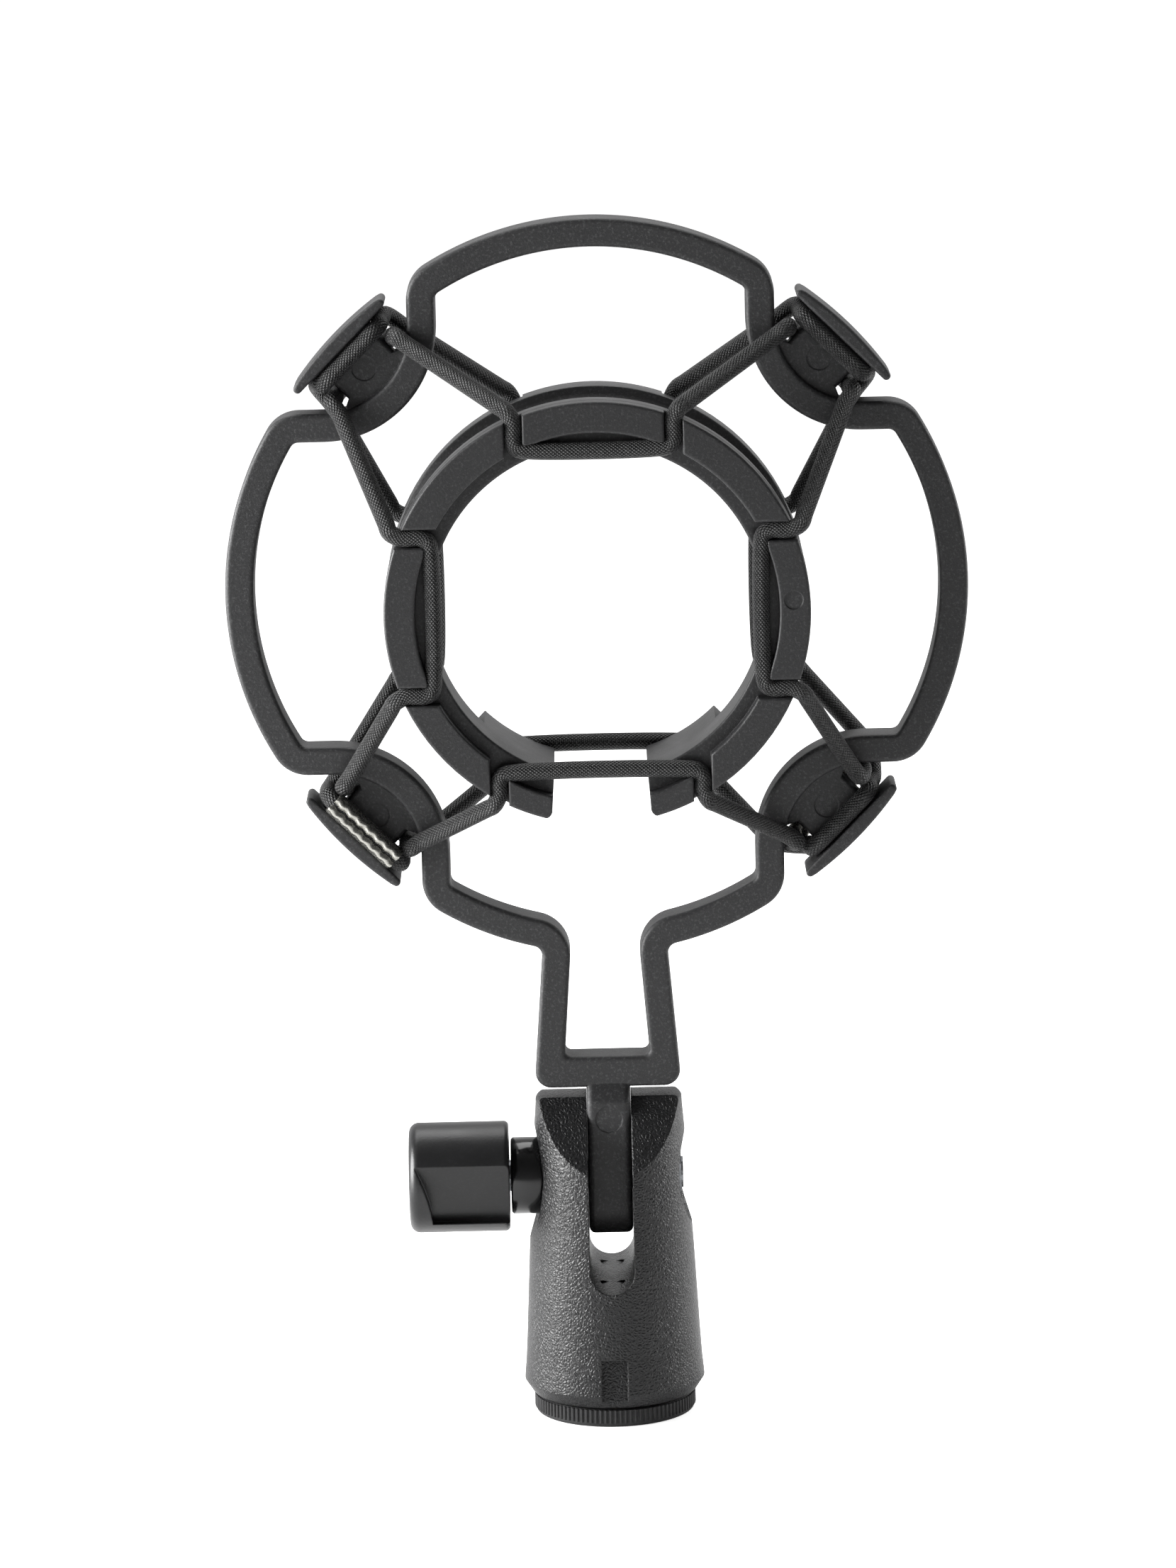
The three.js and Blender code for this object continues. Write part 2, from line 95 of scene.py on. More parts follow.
def arc(centre: Point, radius: float, start: float, stop: float, steps: int) -> list[Point]:
    """Points on an arc in a plane.

    Args:
        centre: The arc's centre.
        radius: Its radius.
        start: The first angle, in degrees.
        stop: The last angle, in degrees.
        steps: How many equal steps there are between them.

    Returns:
        The points, the first and the last included.
    """
    angles = [math.radians(start + (stop - start) * i / steps) for i in range(steps + 1)]
    return [(centre[0] + radius * math.cos(a), centre[1] + radius * math.sin(a)) for a in angles]


def rounded_box(half: Point, radius: float, support: float = 0.0) -> list[Point]:
    """A rectangle with rounded corners.

    Args:
        half: Half its width and half its height.
        radius: The radius of its corners.
        support: How far past each round an extra point lies. None are added for 0.

    Returns:
        The closed outline, counter-clockwise.
    """
    outline = []
    for u, v, start in ((1, 1, 0), (-1, 1, 90), (-1, -1, 180), (1, -1, 270)):
        bend = arc((u * (half[0] - radius), v * (half[1] - radius)), radius, start, start + 90, 5)
        if support:
            upright, level = (0, -v * support), (-u * support, 0)
            before, after = (upright, level) if start % 180 == 0 else (level, upright)
            bend = [
                (bend[0][0] + before[0], bend[0][1] + before[1]), *bend,
                (bend[-1][0] + after[0], bend[-1][1] + after[1]),
            ]
        outline += bend
    return outline


def turn(point: Point, degrees: float) -> Point:
    """A plane point turned about the origin, counter-clockwise."""
    c, s = math.cos(math.radians(degrees)), math.sin(math.radians(degrees))
    return (c * point[0] - s * point[1], s * point[0] + c * point[1])


def add_object(name: str, data: bpy.types.ID) -> bpy.types.Object:
    """A new object for a mesh, a lamp or a camera, linked to the scene."""
    made = bpy.data.objects.new(name, data)
    bpy.context.scene.collection.objects.link(made)
    return made


def mesh_object(name: str, points: Iterable[Coordinates], faces: Iterable[Sequence[int]]) -> Piece:
    """A mesh object made of points in millimetres, its doubles merged and its faces turned outwards.

    Args:
        name: The object's name.
        points: The vertices, in millimetres.
        faces: Vertex numbers for each face.

    Returns:
        The object, linked to the scene.
    """
    mesh = bpy.data.meshes.new(name)
    mesh.from_pydata([Vector(p) * MM for p in points], [], list(faces))
    work = bmesh.new()
    work.from_mesh(mesh)
    bmesh.ops.remove_doubles(work, verts=work.verts, dist=SAME_POINT)
    bmesh.ops.recalc_face_normals(work, faces=work.faces)
    work.to_mesh(mesh)
    work.free()
    return add_object(name, mesh)


def loft(name: str, rings: Sequence[Sequence[Coordinates]], closed: bool) -> Piece:
    """A skin over rings of points that all have the same count.

    Args:
        name: The object's name.
        rings: The rings, in order, in millimetres.
        closed: Whether the last ring joins the first. If not, flat caps close both ends.

    Returns:
        The object.
    """
    size = len(rings[0])
    points = [p for ring in rings for p in ring]
    faces: list[Sequence[int]] = []
    for i in range(len(rings) if closed else len(rings) - 1):
        low, high = i * size, ((i + 1) % len(rings)) * size
        faces += [(low + j, low + (j + 1) % size, high + (j + 1) % size, high + j) for j in range(size)]
    if not closed:
        faces += [range(size), range((len(rings) - 1) * size, len(rings) * size)]
    return mesh_object(name, points, faces)


def inset(outline: Sequence[Point], amount: float) -> list[Point]:
    """An outline moved inwards by an amount, each corner along its mitre."""
    area = sum(a[0] * b[1] - b[0] * a[1] for a, b in zip(outline, [*outline[1:], outline[0]]))
    hand = 1 if area > 0 else -1
    moved = []
    for i, (x, y) in enumerate(outline):
        before, after = outline[i - 1], outline[(i + 1) % len(outline)]
        one = Vector((x - before[0], y - before[1])).normalized()
        two = Vector((after[0] - x, after[1] - y)).normalized()
        normal = Vector((-one.y - two.y, one.x + two.x)) * hand
        normal /= max(1 + one.dot(two), 0.2)
        moved.append((x + normal.x * amount, y + normal.y * amount))
    return moved


def prism(
    name: str, outline: Sequence[Point], low: float, high: float, edge: float = 0.0,
    place: Callable[[float, float, float], Coordinates] = lambda u, v, w: (u, w, v),
) -> Piece:
    """A flat outline given a thickness, with both rims rounded.

    Args:
        name: The object's name.
        outline: The closed outline.
        low: Where the thickness starts.
        high: Where it ends.
        edge: The radius of both rims.
        place: Puts the outline's two coordinates and the thickness into space. The default
            lays the outline in X and Z and the thickness along Y.

    Returns:
        The object.
    """
    levels = [(0.0, low), (0.0, high)]
    if edge > 0:
        turns = [math.radians(a) for a in (90, 67.5, 45, 22.5, 0)]
        rim = [(edge * (1 - math.cos(a)), edge * (1 - math.sin(a))) for a in turns]
        support = min(edge, 0.2)
        rim = [(edge + support, 0.0), *rim, (0.0, edge + support)]
        levels = [(d, low + h) for d, h in rim] + [(d, high - h) for d, h in reversed(rim)]
    rings = [[place(u, v, w) for u, v in inset(outline, d)] for d, w in levels]
    return loft(name, rings, closed=False)


def turned(name: str, profile: Sequence[Point], segments: int, axis: str = "Z") -> Piece:
    """A profile of (radius, height) points turned about an axis.

    Args:
        name: The object's name.
        profile: A closed profile, or one that starts and ends on the axis.
        segments: How many steps there are around.
        axis: X, Y or Z. Heights run along it.

    Returns:
        The object.
    """
    on_axis = profile[0][0] == 0
    points, faces = [], []
    for i in range(segments):
        c, s = math.cos(TAU * (i + 0.5) / segments), math.sin(TAU * (i + 0.5) / segments)
        for r, h in profile:
            points.append({"Z": (r * c, r * s, h), "Y": (r * c, h, r * s), "X": (h, r * c, r * s)}[axis])
    count = len(profile)
    for i in range(segments):
        a, b = i * count, ((i + 1) % segments) * count
        for j in range(count - 1 if on_axis else count):
            k = (j + 1) % count
            quad = (a + j, b + j, b + k, a + k)
            if profile[j][0] == 0:
                quad = (a + j, b + k, a + k)
            elif profile[k][0] == 0:
                quad = (a + j, b + j, a + k)
            faces.append(quad)
    return mesh_object(name, points, faces)


def rod(name: str, start: Coordinates, stop: Coordinates, radius: float, segments: int = 48) -> Piece:
    """A plain round rod between two points, used to cut holes and marks."""
    ends = [Vector(start), Vector(stop)]
    spin = (ends[1] - ends[0]).to_track_quat("Z", "Y")
    circle = arc((0, 0), radius, 0, 360, segments)[:-1]
    return loft(name, [[end + spin @ Vector((u, v, 0)) for u, v in circle] for end in ends], closed=False)


class Combine(Enum):
    """How one solid meets another."""

    JOIN = "UNION"
    CUT = "DIFFERENCE"


def combine(base: Piece, how: Combine, tools: Sequence[Piece]) -> Piece:
    """Joins solids to a base or cuts them from it, and removes them.

    Args:
        base: The solid that is kept.
        how: Join or cut.
        tools: The other solids.

    Returns:
        The base, with its new mesh.
    """
    for tool in tools:
        step = base.modifiers.new("combine", "BOOLEAN")
        step.operation = how.value
        step.solver = "EXACT"
        step.object = tool
        freeze(base)
        bpy.data.objects.remove(tool)
    return base


def freeze(piece: Piece) -> Piece:
    """Replaces a piece's mesh by its evaluated one and removes its modifiers."""
    graph = bpy.context.evaluated_depsgraph_get()
    graph.update()
    shown = piece.evaluated_get(graph)
    result = bpy.data.meshes.new_from_object(shown, preserve_all_data_layers=True, depsgraph=graph)
    piece.modifiers.clear()
    old = piece.data
    piece.data = result
    result.name = piece.name
    bpy.data.meshes.remove(old)
    return piece


def move(piece: Piece, matrix: Matrix) -> Piece:
    """Moves a piece's mesh, with the shift in millimetres, and leaves its object at the origin."""
    matrix = matrix.copy()
    matrix.translation *= MM
    piece.data.transform(matrix)
    return piece


def lift(height: float) -> Matrix:
    """A shift upwards, in millimetres."""
    return Matrix.Translation((0, 0, height))


def smooth(piece: Piece, degrees: float = 32) -> Piece:
    """Shades a piece smooth, apart from edges sharper than an angle."""
    piece.data.shade_smooth()
    piece.data.set_sharp_from_angle(angle=math.radians(degrees))
    return piece


# ---- finishes --------------------------------------------------------------


def linear(code: str) -> tuple[float, float, float, float]:
    """An sRGB hex colour as linear red, green, blue and alpha."""
    parts = [int(code[i:i + 2], 16) / 255 for i in (1, 3, 5)]
    low = [p / 12.92 if p <= 0.04045 else ((p + 0.055) / 1.055) ** 2.4 for p in parts]
    return (low[0], low[1], low[2], 1.0)


def per_metre(size_mm: float) -> float:
    """The texture scale that gives a feature of a size in millimetres on metre coordinates."""
    return 1 / (size_mm * MM)


def wire(tree: Tree, node: bpy.types.Node, inputs: dict[Any, Any]) -> None:
    """Gives a node's inputs, by name or number, their values or their links."""
    for key, value in inputs.items():
        if isinstance(value, Socket):
            tree.links.new(value, node.inputs[key])
        else:
            node.inputs[key].default_value = value


def add_node(
    tree: Tree, kind: str, settings: dict[str, Any] | None = None,
    inputs: dict[Any, Any] | None = None,
) -> bpy.types.Node:
    """Adds a node with its settings, values and links.

    Args:
        tree: The node tree.
        kind: The node's type.
        settings: Attributes of the node itself.
        inputs: Values or sockets for its inputs, by name or number.

    Returns:
        The node.
    """
    made = tree.nodes.new(kind)
    for key, value in (settings or {}).items():
        setattr(made, key, value)
    wire(tree, made, inputs or {})
    return made


def calc(tree: Tree, operation: str, *values: Any) -> Socket:
    """One sum on numbers or sockets."""
    made = add_node(tree, "ShaderNodeMath", {"operation": operation}, dict(enumerate(values)))
    return made.outputs[0]


def relief(tree: Tree, height: Socket, depth_mm: float, **under: Socket) -> Socket:
    """A normal that follows a height, whose full step is a depth in millimetres."""
    made = add_node(tree, "ShaderNodeBump", inputs={
        "Height": height, "Distance": depth_mm * MM, "Strength": 1.0, **under})
    return made.outputs["Normal"]


def ramp(
    tree: Tree, value: Socket, source: Point, target: Point = (0.0, 1.0), eased: bool = True,
) -> Socket:
    """A value moved from one range to another, with eased ends or straight."""
    kind = "SMOOTHSTEP" if eased else "LINEAR"
    made = add_node(tree, "ShaderNodeMapRange", {"interpolation_type": kind}, {
        "Value": value, "From Min": source[0], "From Max": source[1],
        "To Min": target[0], "To Max": target[1]})
    return made.outputs["Result"]


def noise(
    tree: Tree, place: Socket, size_mm: float, detail: float, roughness: float = 0.5,
) -> bpy.types.Node:
    """A noise texture whose features have a size in millimetres."""
    return add_node(tree, "ShaderNodeTexNoise", inputs={
        "Vector": place, "Scale": per_metre(size_mm), "Detail": detail, "Roughness": roughness})


def blank_material(name: str) -> tuple[Material, Tree, bpy.types.Node]:
    """A new material, its tree, and its shader with the output already linked."""
    material = bpy.data.materials.new(name)
    material.use_nodes = True
    tree = material.node_tree
    tree.nodes.clear()
    shader = add_node(tree, "ShaderNodeBsdfPrincipled")
    add_node(tree, "ShaderNodeOutputMaterial", inputs={"Surface": shader.outputs["BSDF"]})
    return material, tree, shader


class Grain(Enum):
    """How a mould's surface was made, and so what the plastic's surface is like."""

    SPARKED = "spark-eroded, fine dots"
    LEATHER = "etched, rounded cells"
    SATIN = "fine satin"
    POLISHED = "polished"


@dataclass(frozen=True)
class MouldedPlastic:
    """Injection-moulded black plastic. The mould's finish gives its grain and its gloss."""

    name: str
    colour: str
    fleck: str
    roughness: float
    grain: Grain
    grain_mm: float
    depth_mm: float
    edge_mm: float = 0.18

    def build(self) -> Material:
        """Makes the material."""
        material, tree, shader = blank_material(self.name)
        place = add_node(tree, "ShaderNodeTexCoord").outputs["Object"]
        height = self.height(tree, place)
        cloud = noise(tree, place, 9, 3.0, 0.6)
        fleck = noise(tree, place, 0.42, 2.0, 0.7)
        spots = ramp(tree, fleck.outputs["Fac"], (0.5, 0.72))
        colour = add_node(tree, "ShaderNodeMix", {"data_type": "RGBA"}, {
            "Factor": spots, 6: linear(self.colour), 7: linear(self.fleck)})
        rough = (self.roughness - 0.05, self.roughness + 0.05)
        gloss = ramp(tree, cloud.outputs["Fac"], (0.3, 0.7), rough, eased=False)
        rounded = add_node(tree, "ShaderNodeBevel", {"samples": 6}, {"Radius": self.edge_mm * MM})
        normal = relief(tree, height, self.depth_mm, Normal=rounded.outputs["Normal"])
        wire(tree, shader, {
            "Base Color": colour.outputs[2], "Roughness": gloss, "Normal": normal, "IOR": 1.5})
        return material

    def height(self, tree: Tree, place: Socket) -> Socket:
        """The height of the surface's grain, from 0 to 1."""
        if self.grain is not Grain.LEATHER:
            return noise(tree, place, self.grain_mm, 3.0, 0.65).outputs["Fac"]
        wander = noise(tree, place, self.grain_mm * 1.7, 2.0)
        shift = add_node(tree, "ShaderNodeVectorMath", {"operation": "SCALE"}, {
            0: wander.outputs["Color"], "Scale": self.grain_mm * 1.2 * MM})
        moved = add_node(tree, "ShaderNodeVectorMath", {"operation": "ADD"}, {
            0: place, 1: shift.outputs["Vector"]})
        cells = add_node(tree, "ShaderNodeTexVoronoi", {"feature": "DISTANCE_TO_EDGE"}, {
            "Vector": moved.outputs["Vector"], "Scale": per_metre(self.grain_mm)})
        return ramp(tree, cells.outputs["Distance"], (0.0, 0.35))


@dataclass(frozen=True)
class BraidedCord:
    """Elastic cord in a woven polyester sleeve: black, each yarn a small ridge that catches the light, with
    grey painted highlights on the ridge tops.
    """

    name: str
    colour: str
    # fleck: the grey painted on the yarns' ridge tops, a painted highlight standing in for glints.
    fleck: str
    yarns: int = 15
    cell_mm: float = 0.62
    yarn_mm: float = 0.2

    def build(self) -> Material:
        """Makes the material. Its UV map runs once around the cord, and in millimetres along it."""
        material, tree, shader = blank_material(self.name)
        uv = add_node(tree, "ShaderNodeUVMap", {"uv_map": "along"})
        split = add_node(tree, "ShaderNodeSeparateXYZ", inputs={0: uv.outputs["UV"]})
        around = calc(tree, "MULTIPLY", split.outputs["X"], float(self.yarns))
        along = calc(tree, "DIVIDE", split.outputs["Y"], self.cell_mm)
        left = calc(tree, "ADD", around, along)
        right = calc(tree, "SUBTRACT", around, along)
        phases = [calc(tree, "MULTIPLY", side, math.pi) for side in (left, right)]
        waves = [calc(tree, "SINE", phase) for phase in phases]
        ridge = calc(tree, "ABSOLUTE", calc(tree, "MULTIPLY", waves[0], waves[1]))
        ridge = calc(tree, "POWER", ridge, 0.6)
        cell = add_node(tree, "ShaderNodeCombineXYZ", inputs={
            0: calc(tree, "FLOOR", left), 1: calc(tree, "FLOOR", right)})
        lot = add_node(tree, "ShaderNodeTexWhiteNoise", {"noise_dimensions": "3D"}, {
            "Vector": cell.outputs["Vector"]})
        # Painted highlight: the fleck grey is painted on the ridge tops of random cells, in place of the
        # glints of light on the yarns.
        painted_glint = calc(tree, "MULTIPLY", ramp(tree, lot.outputs["Value"], (0.35, 0.95)), ridge)
        colour = add_node(tree, "ShaderNodeMix", {"data_type": "RGBA"}, {
            "Factor": painted_glint, 6: linear(self.colour), 7: linear(self.fleck)})
        wire(tree, shader, {
            "Base Color": colour.outputs[2], "Normal": relief(tree, ridge, self.yarn_mm),
            "Roughness": 0.52, "Sheen Weight": 0.05, "Sheen Roughness": 0.4})
        return material


@dataclass(frozen=True)
class Metal:
    """A plated or turned metal: its colour is its reflection, and fine noise breaks up its gloss."""

    name: str
    colour: str
    roughness: float
    grain_mm: float
    depth_mm: float

    def build(self) -> Material:
        """Makes the material."""
        material, tree, shader = blank_material(self.name)
        place = add_node(tree, "ShaderNodeTexCoord").outputs["Object"]
        grain = noise(tree, place, self.grain_mm, 3.0)
        rough = (self.roughness * 0.7, self.roughness * 1.4)
        gloss = ramp(tree, grain.outputs["Fac"], (0.3, 0.7), rough, eased=False)
        wire(tree, shader, {
            "Base Color": linear(self.colour), "Metallic": 1.0, "Roughness": gloss,
            "Normal": relief(tree, grain.outputs["Fac"], self.depth_mm)})
        return material


# Spark-eroded moulds give the frame and ring fine bright dots on a dull black.
FRAME_PLASTIC = MouldedPlastic(
    "spark_eroded_abs", "#202021", "#3c3c3d", 0.52, Grain.SPARKED, 0.27, 0.05, 0.3)
RING_PLASTIC = MouldedPlastic(
    "fine_textured_abs", "#1f1f20", "#363637", 0.46, Grain.SPARKED, 0.27, 0.04, 0.22)
# An etched mould gives the housing small rounded cells that sparkle on the lit side.
HOUSING_PLASTIC = MouldedPlastic(
    "leather_grained_nylon", "#101011", "#161617", 0.4, Grain.LEATHER, 0.55, 0.06, 0.35)
# The adapter's ribs are drawn out of a plain mould, so they are dull and nearly smooth.
ADAPTER_PLASTIC = MouldedPlastic(
    "fluted_nylon", "#1a1a1b", "#242425", 0.5, Grain.SPARKED, 0.4, 0.02, 0.08)
# The knob's satin mould gives it broad soft highlights. The polished collar mirrors its surroundings.
KNOB_PLASTIC = MouldedPlastic("satin_abs", "#161617", "#1c1c1d", 0.36, Grain.SATIN, 0.4, 0.02, 0.3)
COLLAR_PLASTIC = MouldedPlastic(
    "polished_acetal", "#101011", "#121213", 0.16, Grain.POLISHED, 0.8, 0.002, 0.1)
# Each yarn of the braid is a round ridge, and its top is painted grey at random cells: a painted highlight
# that gives the black cord small grey glints.
CORD_BRAID = BraidedCord("braided_polyester", "#070708", "#2d2d2d")
# Rolled lips of nickel are the only bright thing in view. Brass and zinc show from below and the right.
FERRULE_NICKEL = Metal("bright_nickel_plate", "#a9a8a2", 0.27, 0.22, 0.02)
INSERT_BRASS = Metal("turned_brass", "#c39a53", 0.28, 0.4, 0.008)
BOLT_ZINC = Metal("zinc_plated_steel", "#8f9194", 0.34, 0.5, 0.01)


def dress(piece: Piece, material: Material, slot: str, body: str, *nodes: str) -> Piece:
    """Gives a finished piece its material and its body, and hides the CAD nodes that it stands for.

    Args:
        piece: The piece.
        material: Its material.
        slot: The material slot that the record names. Not used.
        body: The body that it rides on, or nothing for a piece that is left without a body.
        nodes: The CAD nodes that it replaces.

    Returns:
        The piece.
    """
    piece.data.materials.clear()
    piece.data.materials.append(material)
    if body:
        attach(piece, body)
    if nodes:
        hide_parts(*nodes)
    log.info("%s: %d faces", piece.name, len(piece.data.polygons))
    return piece


# ---- sub-assemblies --------------------------------------------------------


@dataclass
class OuterFrame:
    """The lobed hoop with its four cord posts, two-legged stem and tongue, in one moulding."""

    bar_half: float = 2.15
    bar_deep: float = 3.3
    bar_round: float = 0.65
    lobe_apex: float = 53.9
    lobe_radius: float = 46.0
    lobe_side: float = 25.4
    lobe_corner: float = 3.5
    saddle: float = 40.4
    leg_top: Point = (7.5, -57.0)
    leg_lean: float = 0.07
    leg_fillet: float = 3.7
    crotch: float = 56.1
    foot: float = 51.3
    neck_half: float = 5.0
    neck_deep: float = 2.0
    neck_round: float = 0.7
    neck_reach: Point = (42.6, 53.6)
    root_corner: tuple[Point, ...] = ((43.0, 7.0), (45.85, 6.9), (46.9, 4.6))
    shoulder_corner: tuple[Point, ...] = ((52.3, 4.6), (52.5, 6.0), (53.1, 8.4))
    flange_from: float = 52.8
    flange_rise: float = 2.1
    flange_half: float = 9.6
    flange_deep: float = 4.35
    tongue_half: float = 3.36
    tongue_deep: float = 5.3
    tongue_bottom: float = 27.8
    shoulder: float = 49.6
    bolt_hole: float = 2.75
    pin_radius: float = 1.85
    pin_out: float = 48.3
    pin_sunk: float = 0.14

    def corner(self) -> tuple[Point, float]:
        """The centre of a lobe's corner round, and the angle where the long arc meets it."""
        reach = self.lobe_radius - self.lobe_corner
        x = self.lobe_side - self.lobe_corner
        rise = math.sqrt(reach * reach - x * x)
        return (x, self.lobe_apex - self.lobe_radius + rise), math.degrees(math.atan2(rise, x))

    def lobe_then_saddle(self, offset: float) -> list[Point]:
        """Half the top lobe and half the saddle to its right, at an offset from the bar's middle."""
        centre, angle = self.corner()
        low = self.lobe_apex - self.lobe_radius
        return [
            *arc((0, low), self.lobe_radius + offset, 90, angle, 22),
            *arc(centre, self.lobe_corner + offset, angle, 0, 10)[1:],
            *arc((self.saddle, self.saddle), self.saddle - self.lobe_side - offset, 180, 225, 14),
        ]

    def lobe_into_leg(self, offset: float) -> list[Point]:
        """The bottom lobe from its right-hand corner to the top of the right leg."""
        centre, angle = self.corner()
        low = self.lobe_apex - self.lobe_radius
        lean = math.atan(self.leg_lean)
        along = Vector((math.sin(lean), -math.cos(lean)))
        across = Vector((math.cos(lean), math.sin(lean)))
        start = Vector(self.leg_top) + across * self.leg_fillet
        from_centre = start + Vector((0, low))
        b = from_centre.dot(along)
        c = from_centre.length_squared - (self.lobe_radius + self.leg_fillet) ** 2
        fillet = start + along * (math.sqrt(b * b - c) - b)
        meet = math.degrees(math.atan2(fillet.y + low, fillet.x))
        return [
            *arc((centre[0], -centre[1]), self.lobe_corner + offset, 0, -angle, 10),
            *arc((0, -low), self.lobe_radius + offset, -angle, meet, 14)[1:],
            *arc(tuple(fillet), self.leg_fillet - offset, meet + 180, 180 + math.degrees(lean), 12)[1:],
        ]

    def contour(self, offset: float) -> list[Point]:
        """The closed line at an offset from the bar's middle, outwards being positive."""
        share = (offset + self.bar_half) / (2 * self.bar_half)
        foot = self.crotch + (self.foot - self.crotch) * share - HOOP_Z
        bend = 1.0 + 1.4 * share
        quarter = self.lobe_then_saddle(offset)
        mirrored = [(y, x) for x, y in reversed(quarter)]
        saddle_radius = self.saddle - self.lobe_side - offset
        half = [
            *quarter, *mirrored[1:], *[turn(p, -90) for p in quarter][1:],
            *arc((self.saddle, -self.saddle), saddle_radius, 135, 180, 14)[1:],
            *self.lobe_into_leg(offset),
        ]
        x = self.leg_top[0] + offset + self.leg_lean * (self.leg_top[1] - foot)
        half += arc((x - bend, foot + bend), bend, 0, -90, 8)
        other = [(-x, z) for x, z in reversed(half[1:])]
        return [(x, z + HOOP_Z) for x, z in half + other]

    def hoop(self) -> Piece:
        """The bar, swept right round with rounded edges."""
        section = rounded_box((self.bar_half, self.bar_deep), self.bar_round, 0.25)
        rings = [[(x, y, z) for x, z in self.contour(offset)] for offset, y in section]
        return loft("outer_frame_moulding", rings, closed=True)

    def post(self, angle: float) -> list[Piece]:
        """A neck, its fillets and a T-shaped flange that point outwards at an angle."""
        deep = self.neck_deep
        outline = rounded_box((self.neck_half, deep), self.neck_round)
        neck = prism("neck", outline, *self.neck_reach, 0, lambda t, y, r: (r, y, t))
        fillets = []
        for corner in (self.root_corner, self.shoulder_corner):
            shape = [*corner, *((r, -t) for r, t in reversed(corner))]
            fillets.append(prism("fillet", shape, -deep, deep))
        inner, tip, blunt, ease = self.flange_from, 1.3, 0.65, 0.3
        end = arc((inner + blunt, self.flange_half - blunt), blunt, 180, 30, 8)
        crown = []
        for i in range(1, 24):
            t = 1 - i / 12
            rise = tip + (self.flange_rise - tip) * (1 - t * t)
            crown.append((inner + rise, (self.flange_half - ease) * t))
        rim = [*end, *crown, *((r, -t) for r, t in reversed(end))]
        plate = prism("flange", rim, -self.flange_deep, self.flange_deep, 0.4)
        spin = lift(HOOP_Z) @ Matrix.Rotation(math.radians(-angle), 4, "Y")
        return [move(part, spin) for part in (neck, plate, *fillets)]

    def tongue(self) -> Piece:
        """The blade that hangs in the clevis: a ramp out of the stem, then a bar with a round end."""
        deep = self.tongue_deep
        ramp = self.bar_deep - 0.7
        outline = [
            (ramp, self.foot + 2.2), (ramp, self.foot + 1.4),
            *arc((deep - 1.2, self.shoulder - 0.6), 1.2, 52, 0, 5),
            *arc((0, self.tongue_bottom + deep), deep, 0, -180, 28),
            *arc((-deep + 1.2, self.shoulder - 0.6), 1.2, 180, 128, 5),
            (-ramp, self.foot + 1.4), (-ramp, self.foot + 2.2),
        ]
        return prism("tongue", outline, -self.tongue_half, self.tongue_half, 0.9, lambda y, z, x: (x, y, z))

    def marks(self) -> list[Piece]:
        """The bolt hole, and the shallow round marks that the mould's ejector pins leave."""
        cutters = [rod("bolt_hole", (-6, 0, PIVOT_Z), (6, 0, PIVOT_Z), self.bolt_hole)]
        mark = self.neck_deep - self.pin_sunk
        for angle in POST_ANGLES:
            c, s = math.cos(math.radians(angle)), math.sin(math.radians(angle))
            x, z = self.pin_out * c, HOOP_Z + self.pin_out * s
            for face in (-1, 1):
                cutters.append(rod("pin", (x, face * mark, z), (x, face * 3, z), self.pin_radius))
        front, up, radius, sunk = -self.tongue_deep, 46.7, 2.05, 0.12
        cutters.append(rod("pin", (0, front + sunk, up), (0, front - 1, up), radius))
        return cutters

    def build(self, material: Material) -> Piece:
        """Builds and dresses the moulding."""
        parts = [part for angle in POST_ANGLES for part in self.post(angle)]
        frame = combine(self.hoop(), Combine.JOIN, [*parts, self.tongue()])
        combine(frame, Combine.CUT, self.marks())
        return dress(smooth(frame), material, "frame_plastic", "frame", "outer_frame")


